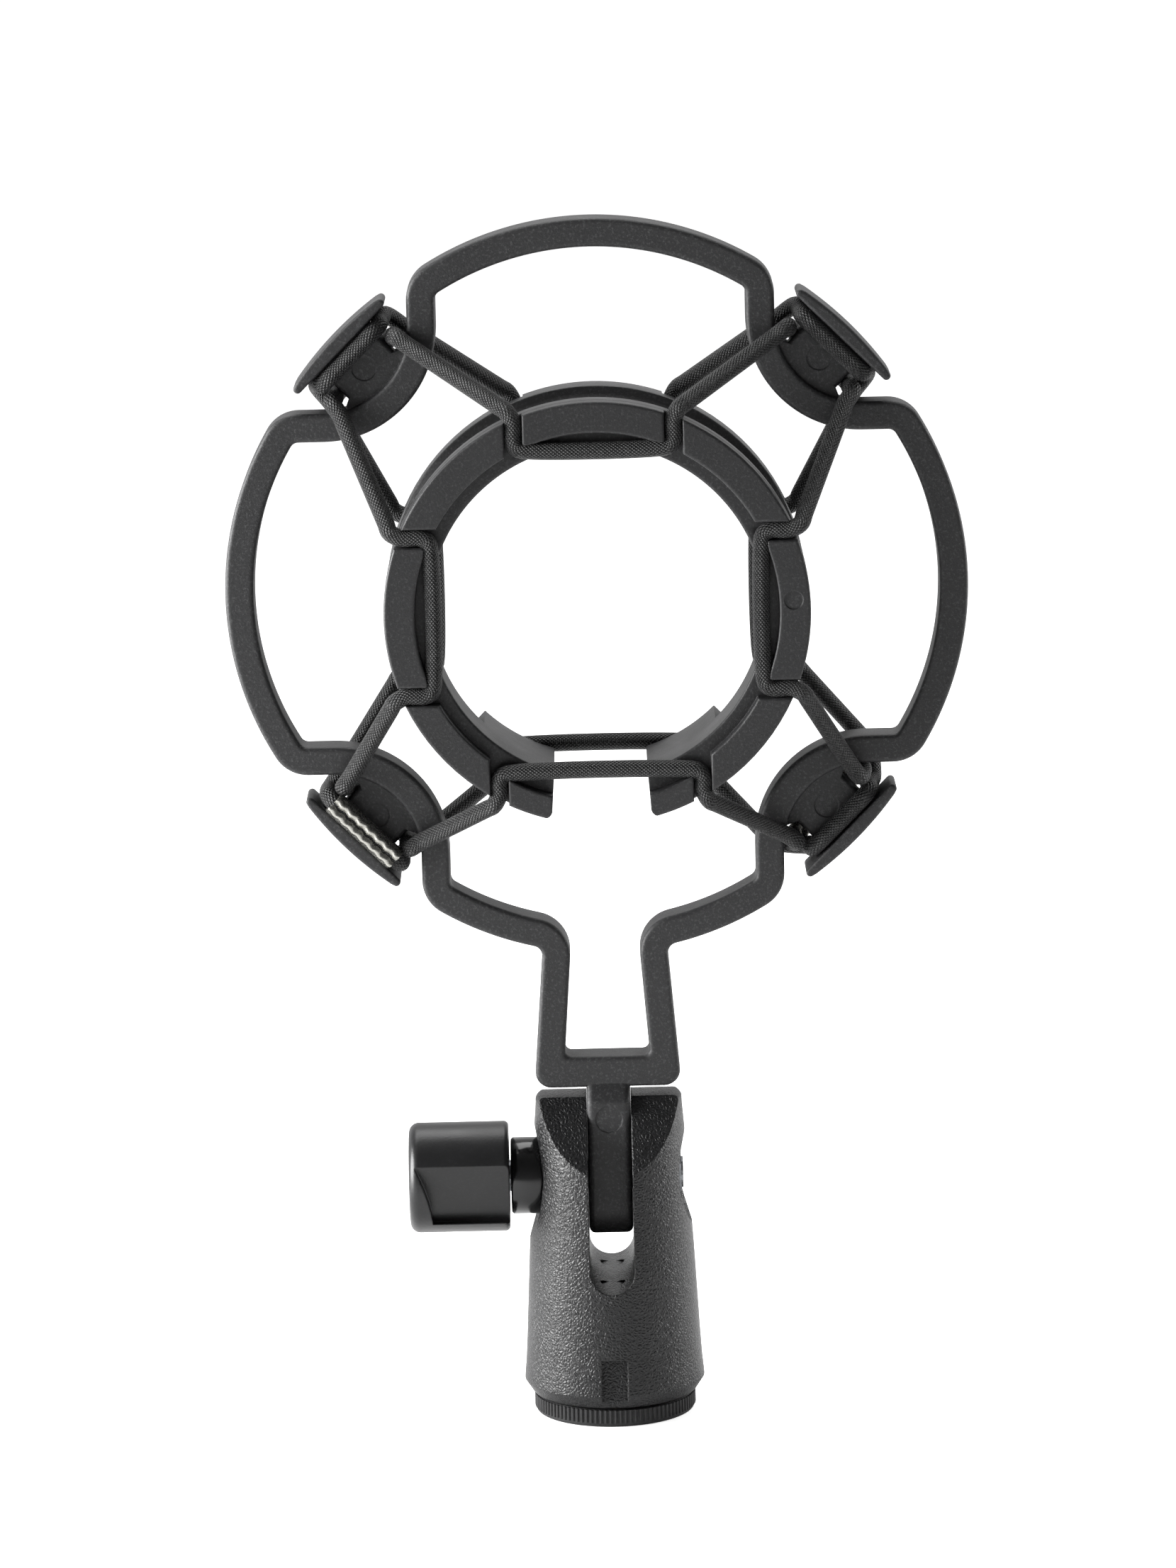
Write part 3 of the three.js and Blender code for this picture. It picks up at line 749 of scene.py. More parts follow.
@dataclass
class InnerRing:
    """The C-shaped spool that grips the microphone."""

    bore: float = 25.2
    outer: float = 32.0
    rim: float = 10.4
    face: float = 13.0
    groove: float = 28.3
    flange: float = 3.5
    tab_inner: float = 27.3
    tab_half: float = 10.6
    slot: float = 2.7
    foot_from: float = 7.2
    foot_to: float = 13.9
    foot_inner: float = 28.4
    channel: float = 1.5

    def spool(self) -> Piece:
        """The turned body: a flange at each end and a smooth channel between them."""
        rim, edge = self.rim, 0.35
        half = [
            *arc((self.bore + edge, rim - edge), edge, 180, 90, 4),
            (self.bore + edge + 0.3, rim),
            (self.outer - edge - 0.3, rim),
            *arc((self.outer - edge, rim - edge), edge, 90, 0, 4),
            (self.outer, rim - edge - 0.3),
            *arc((self.outer - edge, rim - self.flange + edge), edge, 0, -60, 4),
        ]
        low, high = rim - self.flange - 0.2, self.outer - edge - 0.4
        steps = [(high - 0.3, low)]
        for i in range(1, 11):
            share = i / 10
            rise = (high - 0.3 - self.groove) * (1 - share) ** 2.2
            steps.append((self.groove + rise, low - 4.2 * share))
        upper = half + steps
        profile = upper + [(r, -h) for r, h in reversed(upper)]
        profile += [(self.bore, -rim + 1), (self.bore, 0.0), (self.bore, rim - 1)]
        return turned("inner_ring_moulding", profile, 160, "Y")

    def sector(self, low: Point, high: Point, inner: float) -> list[Point]:
        """A raised part's outline between two end lines, as (direction, position) in degrees and mm."""
        rim = self.outer - 0.03
        ends = []
        for (direction, position), radius in ((low, inner), (high, inner), (high, rim), (low, rim)):
            ends.append(direction + math.degrees(math.asin(position / radius)))
        steps = max(6, int(abs(ends[1] - ends[0]) / 2.5))
        return arc((0, 0), inner, ends[0], ends[1], steps) + arc((0, 0), rim, ends[2], ends[3], steps)

    def raised(self, face: int) -> list[Piece]:
        """The tabs, the feet and the curved parts between them, on one face."""
        tab, foot = self.tab_half, self.foot_to
        beyond, past = tab + self.slot, foot + self.slot
        outlines = [self.sector((a, -tab), (a, tab), self.tab_inner) for a in (0, 90, 180)]
        outlines += [self.sector((a, beyond), (a + 90, -beyond), self.tab_inner) for a in (0, 90)]
        outlines += [
            self.sector((180, beyond), (270, -past), self.tab_inner),
            self.sector((270, past), (360, -beyond), self.tab_inner),
            self.sector((270, self.foot_from), (270, foot), self.foot_inner),
            self.sector((270, -foot), (270, -self.foot_from), self.foot_inner),
        ]
        ends = sorted((face * (self.rim - 0.8), face * self.face))
        return [prism("raised", outline, *ends, 0.35) for outline in outlines]

    def cutters(self) -> list[Piece]:
        """The mouth, the cord channels, the pockets in the bore and the gate mark."""
        mouth = [(-6.7, -20), (6.7, -20), (7.4, -29.4), *arc((8.7, -29.6), 1.3, 180, 270, 6), (9.5, -34)]
        outline = mouth + [(-x, z) for x, z in reversed(mouth[2:])]
        made = [prism("mouth", outline, -20, 20)]
        for face in (-1, 1):
            y = face * (self.rim + 1.4)
            for quarter in range(4):
                reach, half = (24.0, self.foot_to + 1.5) if quarter == 3 else (24.8, self.tab_half + 1.5)
                (x0, z0), (x1, z1) = [turn((reach, t), 90 * quarter) for t in (-half, half)]
                made.append(rod("channel", (x0, y, z0), (x1, y, z1), self.channel, 24))
        for hand in (-1, 1):
            points = arc((0, 0), self.bore - 2, 148, 226, 30) + arc((0, 0), self.bore + 1.6, 226, 148, 30)
            made.append(prism("pocket", [(-hand * x, z) for x, z in points], -1, 11))
        gate_x, gate_z = 29.4, 1.5
        front = -self.face
        made.append(rod("gate", (gate_x, front + 0.15, gate_z), (gate_x, front - 1, gate_z), 1.4))
        return made

    def build(self, material: Material) -> Piece:
        """Builds and dresses the ring."""
        ring = combine(self.spool(), Combine.JOIN, self.raised(-1) + self.raised(1))
        combine(ring, Combine.CUT, self.cutters())
        move(ring, lift(RING_Z))
        return dress(smooth(ring, 28), material, "ring_plastic", "ring", "inner_ring")


class Face(Enum):
    """The face of the hoop that a loop's spokes rest on. It crosses each post on the other."""

    FRONT = -1
    REAR = 1


@dataclass
class CordLoop:
    """One elastic loop, in the stretches that ride on the posts, on the ring, and between them."""

    name: str
    face: Face
    lane: float
    ferrule_lane: float
    ferrule_post: int
    radius: float = 1.32
    step: float = 0.4
    sides: int = 20
    detour_post: int = 3
    detour: float = 2.4
    line: list[Vector] = field(default_factory=list)
    tangents: list[Vector] = field(default_factory=list)
    normals: list[Vector] = field(default_factory=list)
    travel: list[float] = field(default_factory=list)

    def at(self, angle: float, out: float, along: float, y: float, centre_z: float) -> Vector:
        """A point by its distance out from a centre and along the tangent, at an angle."""
        x, z = turn((out, along), angle)
        return Vector((x, y, centre_z + z))

    def post_side(self, index: int, hand: int) -> list[Vector]:
        """The run from a post's middle out to one side, round the neck to the spokes' face."""
        face, angle = self.face.value, POST_ANGLES[index]
        if index == self.ferrule_post:
            out = self.ferrule_lane
            steps = [(0.0, 4.1), (3.5, 4.1), (6.4, 4.1), (7.4, 3.2), (7.7, 1.2), (7.7, -1.4)]
        else:
            out = self.lane
            steps = [(0.0, 3.4), (2.6, 3.4), (4.8, 3.4), (6.0, 2.7), (6.4, 1.2), (6.4, -1.4)]
        steps.append((6.9, -3.9) if self.face is Face.FRONT else (7.5, -4.2))
        return [self.at(angle, out, hand * t, -face * y, HOOP_Z) for t, y in steps]

    def spoke(self, index: int, hand: int, slot: Vector) -> list[Vector]:
        """The straight run from the hoop beside a post to the ring's slot, from the post inwards."""
        out, along, off = (46.2, 7.3, 4.75) if self.face is Face.FRONT else (47.4, 8.1, 5.15)
        if self.face is Face.REAR and index == self.detour_post:
            along += self.detour
        rest = self.at(POST_ANGLES[index], out, hand * along, self.face.value * off, HOOP_Z)
        return [rest, *(rest.lerp(slot, share) for share in (0.1, 0.5, 0.92))]

    def slot_run(self, quarter: int, hand: int) -> list[Vector]:
        """In through a slot beside a tab, to the end of the straight run across the ring."""
        middle, reach, lead = (15.3, 24.0, 4.9) if quarter == 3 else (11.95, 24.8, 5.9)
        steps = [(lead, 0.95), (lead - 1.8, 0.05), (1.5, 0.05), (0.35, -0.5), (0.0, -1.9)]
        y = self.face.value * 11.8
        return [self.at(90 * quarter, reach + r, hand * (middle + t), y, RING_Z) for r, t in steps]

    def curve(self, points: Sequence[Vector]) -> tuple[list[Vector], list[int]]:
        """A smooth line through points, its samples evenly spaced.

        Args:
            points: The points that the line passes through.

        Returns:
            The samples, and for each the number of the point before it.
        """
        dense: list[Vector] = []
        cuts = 24
        for i in range(len(points) - 1):
            p0 = points[i - 1] if i else points[0] * 2 - points[1]
            p3 = points[i + 2] if i + 2 < len(points) else points[-1] * 2 - points[-2]
            dense += [self.catmull(p0, points[i], points[i + 1], p3, j / cuts) for j in range(cuts)]
        dense.append(points[-1])
        total = sum((b - a).length for a, b in zip(dense, dense[1:]))
        count = max(2, round(total / self.step))
        spaced, owners, gone, index = [dense[0]], [0], 0.0, 0
        for k in range(1, count):
            target = total * k / count
            while gone + (dense[index + 1] - dense[index]).length < target:
                gone += (dense[index + 1] - dense[index]).length
                index += 1
            share = (target - gone) / (dense[index + 1] - dense[index]).length
            spaced.append(dense[index].lerp(dense[index + 1], share))
            owners.append(index // cuts)
        return spaced + [dense[-1]], owners + [len(points) - 2]

    @staticmethod
    def catmull(p0: Vector, p1: Vector, p2: Vector, p3: Vector, share: float) -> Vector:
        """A point on the centripetal spline between the middle two of four points."""
        t0, times = 0.0, [0.0]
        for a, b in ((p0, p1), (p1, p2), (p2, p3)):
            t0 += math.sqrt(max((b - a).length, 1e-6))
            times.append(t0)
        t = times[1] + (times[2] - times[1]) * share
        line = [p0, p1, p2, p3]
        for spans in (((0, 1), (1, 2), (2, 3)), ((0, 2), (1, 3)), ((1, 2),)):
            shares = [(t - times[low]) / (times[high] - times[low]) for low, high in spans]
            line = [a.lerp(b, part) for a, b, part in zip(line, line[1:], shares)]
        return line[0]

    def route(self) -> list[tuple[str, list[Vector]]]:
        """The loop's stretches in order, each with what it rides on."""
        stretches: list[tuple[str, list[Vector]]] = []
        for step in range(4):
            index = (self.ferrule_post + step) % 4
            after = (index + 1) % 4
            slots = [self.slot_run(after, -1), self.slot_run(after, 1)]
            stretches.append(("posts", self.post_side(index, 1)))
            stretches.append(("spoke", self.spoke(index, 1, slots[0][0])))
            stretches.append(("ring", [*slots[0], *reversed(slots[1])]))
            stretches.append(("spoke", [*reversed(self.spoke(after, -1, slots[1][0]))]))
            stretches.append(("posts", [*reversed(self.post_side(after, -1))]))
        return stretches

    def build(self, material: Material) -> None:
        """Builds the loop as one smooth line, and cuts it where the body that carries it changes."""
        points, marks = [], []
        for kind, stretch in self.route():
            points += stretch
            marks += [kind] * len(stretch)
        line, owners = self.curve(points)
        kinds = [marks[at] if marks[at] == marks[at + 1] else "spoke" for at in owners]
        groups: dict[str, list[tuple[int, int]]] = {"posts": [], "ring": []}
        spokes = 0
        for kind, first, last in self.sweep(line, kinds):
            if kind == "spoke":
                spokes += 1
                piece = self.tube(f"{self.name}_spoke_{spokes}", [(first, last)])
                start, end = self.line[first], self.line[last]
                if self.out_of_ring(start) < self.out_of_ring(end):
                    start, end = end, start
                dress(piece, material, "cord_braid", "")
                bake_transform(piece)
            else:
                groups[kind].append((first, last))
        on_posts = self.tube(f"{self.name}_cord_on_posts", groups["posts"])
        dress(on_posts, material, "cord_braid", "frame", f"cord_{self.name}_loop")
        on_ring = self.tube(f"{self.name}_cord_on_ring", groups["ring"])
        dress(on_ring, material, "cord_braid", "ring")

    def out_of_ring(self, point: Vector) -> float:
        """How far a point is from the ring's axis."""
        return math.hypot(point.x, point.z - RING_Z)

    def sweep(self, line: Sequence[Vector], kinds: Sequence[str]) -> list[tuple[str, int, int]]:
        """Keeps the line with a frame that doesn't twist, and returns its runs of one kind."""
        self.line = list(line)
        afters, befores = [*line[1:], line[-1]], [line[0], *line[:-1]]
        self.tangents = [(after - before).normalized() for after, before in zip(afters, befores)]
        normal = self.tangents[0].orthogonal().normalized()
        for tangent in self.tangents:
            normal = (normal - tangent * normal.dot(tangent)).normalized()
            self.normals.append(normal.copy())
        self.travel = [0.0]
        for a, b in zip(line, line[1:]):
            self.travel.append(self.travel[-1] + (b - a).length)
        runs, first = [], 0
        for i in range(1, len(line)):
            if kinds[i] != kinds[first]:
                runs.append((kinds[first], first, i))
                first = i
        return runs + [(kinds[first], first, len(line) - 1)]

    def tube(self, name: str, runs: Sequence[tuple[int, int]]) -> Piece:
        """One mesh for some runs of the line, each a closed tube with flat ends.

        Args:
            name: The piece's name.
            runs: The first and last sample of each run.

        Returns:
            The piece, with a UV map that goes once around and in millimetres along.
        """
        points, faces, uvs = [], [], []
        for first, last in runs:
            base = len(points)
            for i in range(first, last + 1):
                side = self.tangents[i].cross(self.normals[i])
                for j in range(self.sides):
                    a = TAU * j / self.sides
                    spoke = self.normals[i] * math.cos(a) + side * math.sin(a)
                    points.append(self.line[i] + spoke * self.radius)
            for i in range(last - first):
                for j in range(self.sides):
                    low, high, k = base + i * self.sides, base + (i + 1) * self.sides, (j + 1) % self.sides
                    faces.append((low + j, low + k, high + k, high + j))
                    v0, v1 = self.travel[first + i], self.travel[first + i + 1]
                    u0, u1 = j / self.sides, (j + 1) / self.sides
                    uvs += [(u0, v0), (u1, v0), (u1, v1), (u0, v1)]
            for i, turned_over in ((0, True), (last - first, False)):
                cap = [base + i * self.sides + j for j in range(self.sides)]
                faces.append(cap[::-1] if turned_over else cap)
                uvs += [(0.5, self.travel[first + i])] * self.sides
        mesh = bpy.data.meshes.new(name)
        mesh.from_pydata([p * MM for p in points], [], faces)
        mesh.uv_layers.new(name="along")
        mesh.uv_layers["along"].data.foreach_set("uv", [c for uv in uvs for c in uv])
        return smooth(add_object(name, mesh), 40)


@dataclass
class Ferrule:
    """A crimped sleeve with a scalloped seam and two rolled lips along it."""

    name: str
    node: str
    angle: float
    out: float
    y: float
    facing: int
    half: float = 6.5
    wide: float = 1.85
    deep: float = 1.75
    wall: float = 0.32
    tooth: float = 0.13
    teeth: int = 7
    gap: float = 0.13
    lip_rise: float = 0.3
    lip_at: float = 0.4
    lip_width: float = 0.26
    seam_width: float = 0.14
    pinch: float = 0.12

    def build(self, material: Material) -> Piece:
        """Builds the sleeve from strips around it, from one lip of the seam to the other."""
        around, along = 64, self.teeth * 12
        outer, inner = [], []
        for i in range(along + 1):
            share = i / along
            wave = math.sin(TAU * share * self.teeth)
            middle = math.radians(90) + self.tooth * wave / self.wide
            ends = max(0.0, abs(2 * share - 1) - 0.93) / 0.07
            row_out, row_in = [], []
            for j in range(around + 1):
                a = middle + self.gap + (TAU - 2 * self.gap) * j / around
                from_seam = min(j, around - j) / around * TAU
                lip = math.exp(-(((from_seam - self.lip_at) / self.lip_width) ** 2))
                fold = math.exp(-((from_seam / self.seam_width) ** 2))
                grow = self.lip_rise * (lip - fold) - self.pinch * ends * ends
                for row, shrink in ((row_out, 0.0), (row_in, self.wall)):
                    r, y = self.wide + grow - shrink, self.deep + grow - shrink
                    row.append((r * math.cos(a), y * math.sin(a), (share * 2 - 1) * self.half))
            outer.append(row_out)
            inner.append(row_in[::-1])
        rings = [o + i for o, i in zip(outer, inner)]
        sleeve = loft(f"{self.name}_sleeve", rings, closed=False)
        flip = Matrix.Diagonal((1, self.facing, 1, 1))
        spin = lift(HOOP_Z) @ Matrix.Rotation(math.radians(-self.angle), 4, "Y")
        move(sleeve, spin @ Matrix.Translation((self.out, self.y, 0)) @ flip)
        if self.facing < 0:
            sleeve.data.flip_normals()
        return dress(smooth(sleeve, 40), material, "ferrule_nickel", "frame", self.node)


@dataclass
class SwivelHousing:
    """The tapered clevis that takes the tongue, the clamp bolt and the stand's thread."""

    top: float = 49.8
    slot_half: float = 3.4
    slot_bottom: float = 21.0
    bore: float = 10.3
    bore_top: float = 15.3
    bolt_hole: float = 2.75
    pin_radius: float = 1.9
    pin_y: float = 6.3

    def body(self) -> Piece:
        """The turned outside, from the bottom rim to the top."""
        profile = [
            (0.0, 3.0), (11.8, 3.0), *arc((12.0, 3.9), 0.9, 270, 325, 4), (13.6, 4.7), (13.86, 5.1),
            (13.84, 5.5), (13.6, 8), (13.35, 12), (13.15, 16), (12.95, 20), (12.7, 25), (12.4, 30),
            (12.05, 37), (11.65, 43),
            (11.25, 48.2), *arc((10.35, 48.9), 0.9, 15, 90, 6), (9.9, self.top), (0.0, self.top),
        ]
        return turned("swivel_housing_moulding", profile, 144)

    def cutters(self) -> list[Piece]:
        """Everything that is taken out of the turned body."""
        half, floor = self.slot_half, self.slot_bottom
        slot = [*arc((0, floor + half), half, 180, 360, 24), (half, self.top + 3), (-half, self.top + 3)]
        made = [prism("slot", slot, -20, 20)]
        for face in (-1, 1):
            facet = [(face * 12.5, 38.0), (face * 2.0, 51.0), (face * 20, 51.0), (face * 20, 38.0)]
            made.append(prism("facet", facet, -20, 20, 0, lambda y, z, x: (x, y, z)))
        dish = [(0.0, -30.0), *arc((0, -25.2), 16, -17, 90, 24)[:-1], (0.0, -9.2)]
        seat = [(0.0, -20.0), (6.2, -20.0), (6.2, -9.3), (0.0, -9.3)]
        nut_dish = [(0.0, 10.15), (5.2, 10.15), (6.1, 10.7), (7.7, 12.3), (9.6, 15.0), (0.0, 15.0)]
        nut_seat = [(0.0, 7.1), (4.65, 7.1), (4.65, 13.0), (0.0, 13.0)]
        made += [turned("dish", dish, 96, "X"), turned("seat", seat, 96, "X")]
        made += [turned("nut_dish", nut_dish, 96, "X"), turned("nut_seat", nut_seat, 6, "X")]
        for cutter in made[-4:]:
            move(cutter, lift(PIVOT_Z))
        made.append(rod("bolt_hole", (-18, 0, PIVOT_Z), (18, 0, PIVOT_Z), self.bolt_hole))
        made.append(rod("thread_bore", (0, 0, 0), (0, 0, self.bore_top), self.bore, 96))
        notch = [(-15, 1.5), (-13.2, 3.0), (-12.1, 10.7), (-15, 10.9)]
        made.append(prism("notch", notch, -2, 2, 0.0, lambda y, z, x: (x, y, z)))
        return made

    def build(self, material: Material) -> Piece:
        """Builds and dresses the housing."""
        housing = combine(self.body(), Combine.CUT, self.cutters())
        low, high = self.slot_bottom + 0.05, self.slot_bottom + 3
        pins = [rod("pin", (0, y, low), (0, y, high), self.pin_radius) for y in (-self.pin_y, self.pin_y)]
        combine(housing, Combine.CUT, pins)
        return dress(smooth(housing), material, "housing_plastic", "base", "swivel_housing")


@dataclass
class ThreadAdapter:
    """The fluted reducing ring that screws onto the stand."""

    flange: float = 12.15
    thick: float = 2.8
    flutes: int = 100
    flute_radius: float = 0.27
    rib_low: float = 0.65
    rib_short: float = 0.75
    thread_low: float = 1.2
    thread_crest: float = 0.42
    stud: float = 7.75
    bore: float = 4.7
    top: float = 11.0
    pitch: float = 1.6

    def blank(self) -> Piece:
        """The turned ring before its flutes."""
        profile = [
            (self.bore, 0.8), (self.bore + 0.8, 0.0), (11.6, 0.0),
            *arc((self.flange - 0.4, 0.45), 0.45, 270, 360, 5),
            (self.flange, self.thick - 0.2), (self.flange - 0.2, self.thick), (self.stud, self.thick),
            (self.stud, self.top - 0.6), (self.stud - 0.6, self.top), (self.bore + 0.6, self.top),
            (self.bore, self.top - 0.6),
        ]
        return turned("thread_adapter_ring", profile, 184)

    def tree(self, material: Material) -> Tree:
        """A node tree that sets upright ribs around the ring and a helical thread in its bore."""
        group = bpy.data.node_groups.new("flutes_and_thread", "GeometryNodeTree")
        wanted = [("Count", "NodeSocketInt", self.flutes), ("Radius", "NodeSocketFloat", self.flange * MM),
                  ("Rib radius", "NodeSocketFloat", self.flute_radius * MM),
                  ("Rib height", "NodeSocketFloat", (self.thick - self.rib_short) * MM),
                  ("Thread radius", "NodeSocketFloat", self.bore * MM),
                  ("Thread pitch", "NodeSocketFloat", self.pitch * MM),
                  ("Thread length", "NodeSocketFloat", (self.top - 2 * self.thread_low) * MM)]
        group.interface.new_socket("Geometry", in_out="INPUT", socket_type="NodeSocketGeometry")
        for name, kind, value in wanted:
            socket = group.interface.new_socket(name, in_out="INPUT", socket_type=kind)
            socket.default_value = value
        group.interface.new_socket("Geometry", in_out="OUTPUT", socket_type="NodeSocketGeometry")
        given = add_node(group, "NodeGroupInput").outputs
        circle = add_node(group, "GeometryNodeMeshCircle", inputs={
            "Vertices": given["Count"], "Radius": given["Radius"]})
        middle = (self.rib_low + (self.thick - self.rib_short) / 2) * MM
        ring = add_node(group, "GeometryNodeTransform", inputs={
            "Geometry": circle.outputs["Mesh"], "Translation": (0, 0, middle)})
        rib = add_node(group, "GeometryNodeMeshCylinder", inputs={
            "Vertices": 8, "Radius": given["Rib radius"], "Depth": given["Rib height"]})
        ribs = add_node(group, "GeometryNodeInstanceOnPoints", inputs={
            "Points": ring.outputs["Geometry"], "Instance": rib.outputs["Mesh"]})
        turns = calc(group, "DIVIDE", given["Thread length"], given["Thread pitch"])
        spiral = add_node(group, "GeometryNodeCurveSpiral", inputs={
            "Resolution": 40, "Rotations": turns, "Start Radius": given["Thread radius"],
            "End Radius": given["Thread radius"], "Height": given["Thread length"]})
        raised = add_node(group, "GeometryNodeTransform", inputs={
            "Geometry": spiral.outputs["Curve"], "Translation": (0, 0, self.thread_low * MM)})
        crest = add_node(group, "GeometryNodeCurvePrimitiveCircle", {"mode": "RADIUS"}, {
            "Resolution": 6, "Radius": self.thread_crest * MM})
        thread = add_node(group, "GeometryNodeCurveToMesh", inputs={
            "Curve": raised.outputs["Geometry"], "Profile Curve": crest.outputs["Curve"],
            "Fill Caps": True})
        together = add_node(group, "GeometryNodeJoinGeometry")
        for part in (given["Geometry"], ribs.outputs["Instances"], thread.outputs["Mesh"]):
            group.links.new(part, together.inputs["Geometry"])
        real = add_node(group, "GeometryNodeRealizeInstances", inputs={
            "Geometry": together.outputs["Geometry"]})
        shaded = add_node(group, "GeometryNodeSetMaterial", inputs={
            "Geometry": real.outputs["Geometry"], "Material": material})
        add_node(group, "NodeGroupOutput", inputs={"Geometry": shaded.outputs["Geometry"]})
        return group

    def build(self, material: Material) -> Piece:
        """Builds and dresses the ring."""
        ring = self.blank()
        modifier = ring.modifiers.new("flutes", "NODES")
        modifier.node_group = self.tree(material)
        for item in modifier.node_group.interface.items_tree:
            if item.in_out == "INPUT" and item.name != "Geometry":
                modifier[item.identifier] = item.default_value
        freeze(ring)
        return dress(smooth(ring, 40), material, "adapter_plastic", "adapter", "thread_adapter")


@dataclass
class TiltClamp:
    """The winged knob and its collar, on the tilt axis."""

    radius: float = 8.45
    outer_x: float = -30.8
    inner_x: float = -15.5
    edge: float = 1.5
    recess_low: float = -6.0
    recess_tall: float = 9.5
    recess_end: float = -27.3
    end_lean: float = 2.7
    wing_half: float = 4.4
    wing_lean: float = 3.35
    collar_radius: float = 5.9
    collar_to: float = -9.7

    def knob(self, material: Material) -> Piece:
        """A round knob with a recess on each side that leaves a wing to turn it by."""
        out, back, edge = self.outer_x, self.inner_x, self.edge
        profile = [
            (0.0, out), (self.radius - edge - 0.4, out),
            *arc((self.radius - edge, out + edge), edge, 270, 360, 8),
            (self.radius, out + edge + 0.3), (self.radius, back - 0.9),
            *arc((self.radius - 0.7, back - 0.7), 0.7, 0, 90, 5),
            (0.0, back),
        ]
        body = turned("clamp_knob_moulding", profile, 128, "X")
        wedge = self.recess()
        opposite = add_object("opposite_recess", wedge.data.copy())
        move(opposite, Matrix.Rotation(math.pi, 4, "X"))
        combine(body, Combine.CUT, [wedge, opposite])
        move(body, lift(PIVOT_Z))
        return dress(smooth(body), material, "knob_plastic", "clamp", "clamp_knob")

    def recess(self) -> Piece:
        """One finger recess: a wedge whose outer end is curved and leans outwards."""
        rows, near, far = [], self.inner_x + 2, -12
        for i in range(13):
            share = i / 12
            z = self.recess_low + self.recess_tall * share
            wall = -self.wing_half - self.wing_lean * share
            end = self.recess_end - self.end_lean * share ** 1.6
            rows.append([(end, wall, z), (near, wall, z), (near, far, z), (end, far, z)])
        return loft("recess", rows, closed=False)

    def collar(self, material: Material) -> Piece:
        """The smooth collar between the knob and the housing."""
        r, start, stop = self.collar_radius, self.inner_x + 0.3, self.collar_to
        profile = [
            (0.0, start), (r - 0.3, start), (r, start + 0.3), (r, stop - 0.4), (r - 0.4, stop), (0.0, stop),
        ]
        collar = turned("knob_collar_turning", profile, 96, "X")
        move(collar, lift(PIVOT_Z))
        return dress(smooth(collar, 50), material, "collar_plastic", "clamp", "knob_collar")


# ---- surroundings ----------------------------------------------------------


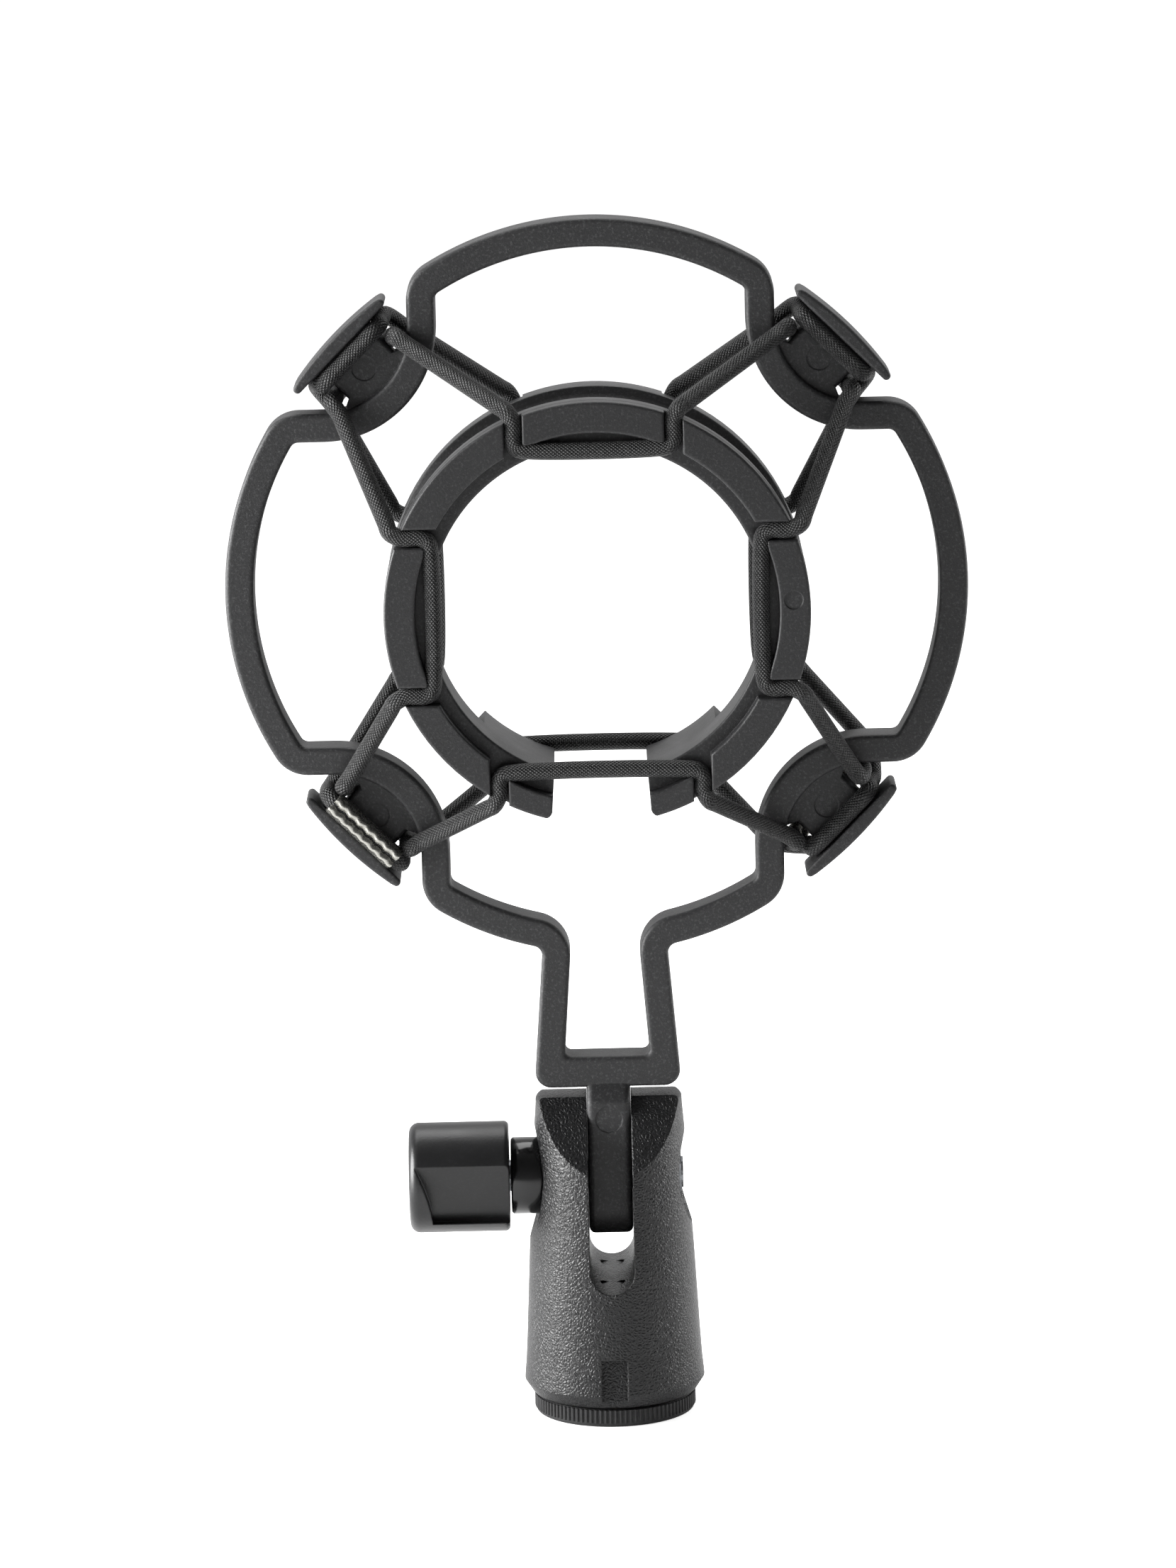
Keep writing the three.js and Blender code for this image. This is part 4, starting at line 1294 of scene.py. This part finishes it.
@dataclass(frozen=True)
class Studio:
    """A pale floor that runs out of sight, soft side lights, and a camera above the hoop's middle."""

    camera_mm: tuple[float, float, float] = (0, -1000, 283)
    pitch: float = 10.4864
    yaw: float = -0.1152
    roll: float = 1.35
    lens: float = 153.54

    def camera(self) -> None:
        """Places the camera."""
        data = bpy.data.cameras.new("camera")
        data.lens = self.lens
        data.sensor_width = 36
        data.clip_end = 50
        shot = add_object("camera", data)
        shot.location = Vector(self.camera_mm) * MM
        aim = Euler((math.radians(90 - self.pitch), 0, math.radians(-self.yaw)), "XYZ").to_matrix()
        shot.rotation_euler = (aim @ Matrix.Rotation(math.radians(-self.roll), 3, "Z")).to_euler()
        bpy.context.scene.camera = shot

    def floor(self) -> None:
        """A large plain floor."""
        half = 9000
        corners = [(-half, -half, 0), (half, -half, 0), (half, half, 0), (-half, half, 0)]
        floor = mesh_object("floor", corners, [(0, 1, 2, 3)])
        material, tree, shader = blank_material("matt_white_card")
        seen = add_node(tree, "ShaderNodeLightPath").outputs["Is Camera Ray"]
        glow = ramp(tree, seen, (0.0, 1.0), (0.05, 0.75), eased=False)
        wire(tree, shader, {
            "Base Color": linear("#f4f4f4"), "Roughness": 0.9, "Specular IOR Level": 0.1,
            "Emission Color": linear("#ffffff"), "Emission Strength": glow})
        floor.data.materials.append(material)

    def lights(self) -> None:
        """Soft boxes at the sides, the left one stronger, and a glow that fades towards the camera."""
        boxes = [("left_box", (-640, -100, 220), 420, 13.0), ("right_box", (660, 260, 220), 420, 3.0),
                 ("top_box", (0, 300, 900), 700, 5.5)]
        for name, place, size, power in boxes:
            data = bpy.data.lights.new(name, "AREA")
            data.shape = "SQUARE"
            data.size = size * MM
            data.energy = power
            lamp = add_object(name, data)
            lamp.location = Vector(place) * MM
            aim = Vector((0, 0, 100)) * MM - lamp.location
            lamp.rotation_euler = aim.to_track_quat("-Z", "Y").to_euler()
        world = bpy.data.worlds.new("studio")
        bpy.context.scene.world = world
        world.use_nodes = True
        tree = world.node_tree
        tree.nodes.clear()
        sky = add_node(tree, "ShaderNodeTexCoord").outputs["Generated"]
        way = add_node(tree, "ShaderNodeSeparateXYZ", inputs={0: sky})
        depth = ramp(tree, way.outputs["Y"], (-0.6, 0.6), (0.24, 1.0))
        height = ramp(tree, way.outputs["Z"], (0.1, 0.7), (1.0, 0.5))
        side = ramp(tree, way.outputs["X"], (0.1, 0.9), (1.0, 0.4))
        light = calc(tree, "MULTIPLY", calc(tree, "MULTIPLY", depth, height), side)
        seen = add_node(tree, "ShaderNodeLightPath").outputs["Is Camera Ray"]
        glow = add_node(tree, "ShaderNodeBackground", inputs={
            "Strength": calc(tree, "MAXIMUM", light, seen), "Color": (1, 1, 1, 1)})
        add_node(tree, "ShaderNodeOutputWorld", inputs={"Surface": glow.outputs["Background"]})
        bpy.context.scene.view_settings.view_transform = "Standard"


def main() -> None:
    """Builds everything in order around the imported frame."""
    logging.basicConfig(level=logging.INFO, format="%(name)s: %(message)s")
    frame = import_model()
    studio = Studio()
    studio.camera()
    OuterFrame().build(FRAME_PLASTIC.build())
    InnerRing().build(RING_PLASTIC.build())
    braid, nickel = CORD_BRAID.build(), FERRULE_NICKEL.build()
    CordLoop("front", Face.FRONT, 48.3, 48.6, 3).build(braid)
    CordLoop("rear", Face.REAR, 51.2, 51.0, 2).build(braid)
    Ferrule("rear_loop", "ferrule_rear_loop", 225, 51.0, -4.1, -1).build(nickel)
    Ferrule("front_loop", "ferrule_front_loop", 315, 48.6, 4.1, 1).build(nickel)
    SwivelHousing().build(HOUSING_PLASTIC.build())
    ThreadAdapter().build(ADAPTER_PLASTIC.build())
    clamp = TiltClamp()
    clamp.knob(KNOB_PLASTIC.build())
    clamp.collar(COLLAR_PLASTIC.build())
    zinc, brass = BOLT_ZINC.build(), INSERT_BRASS.build()
    for node, material in (("clamp_bolt", zinc), ("clamp_nut", zinc), ("thread_insert", brass)):
        frame["nodes"][node].data.materials.clear()
        frame["nodes"][node].data.materials.append(material)
    studio.floor()
    studio.lights()


if __name__ == "__main__":
    main()
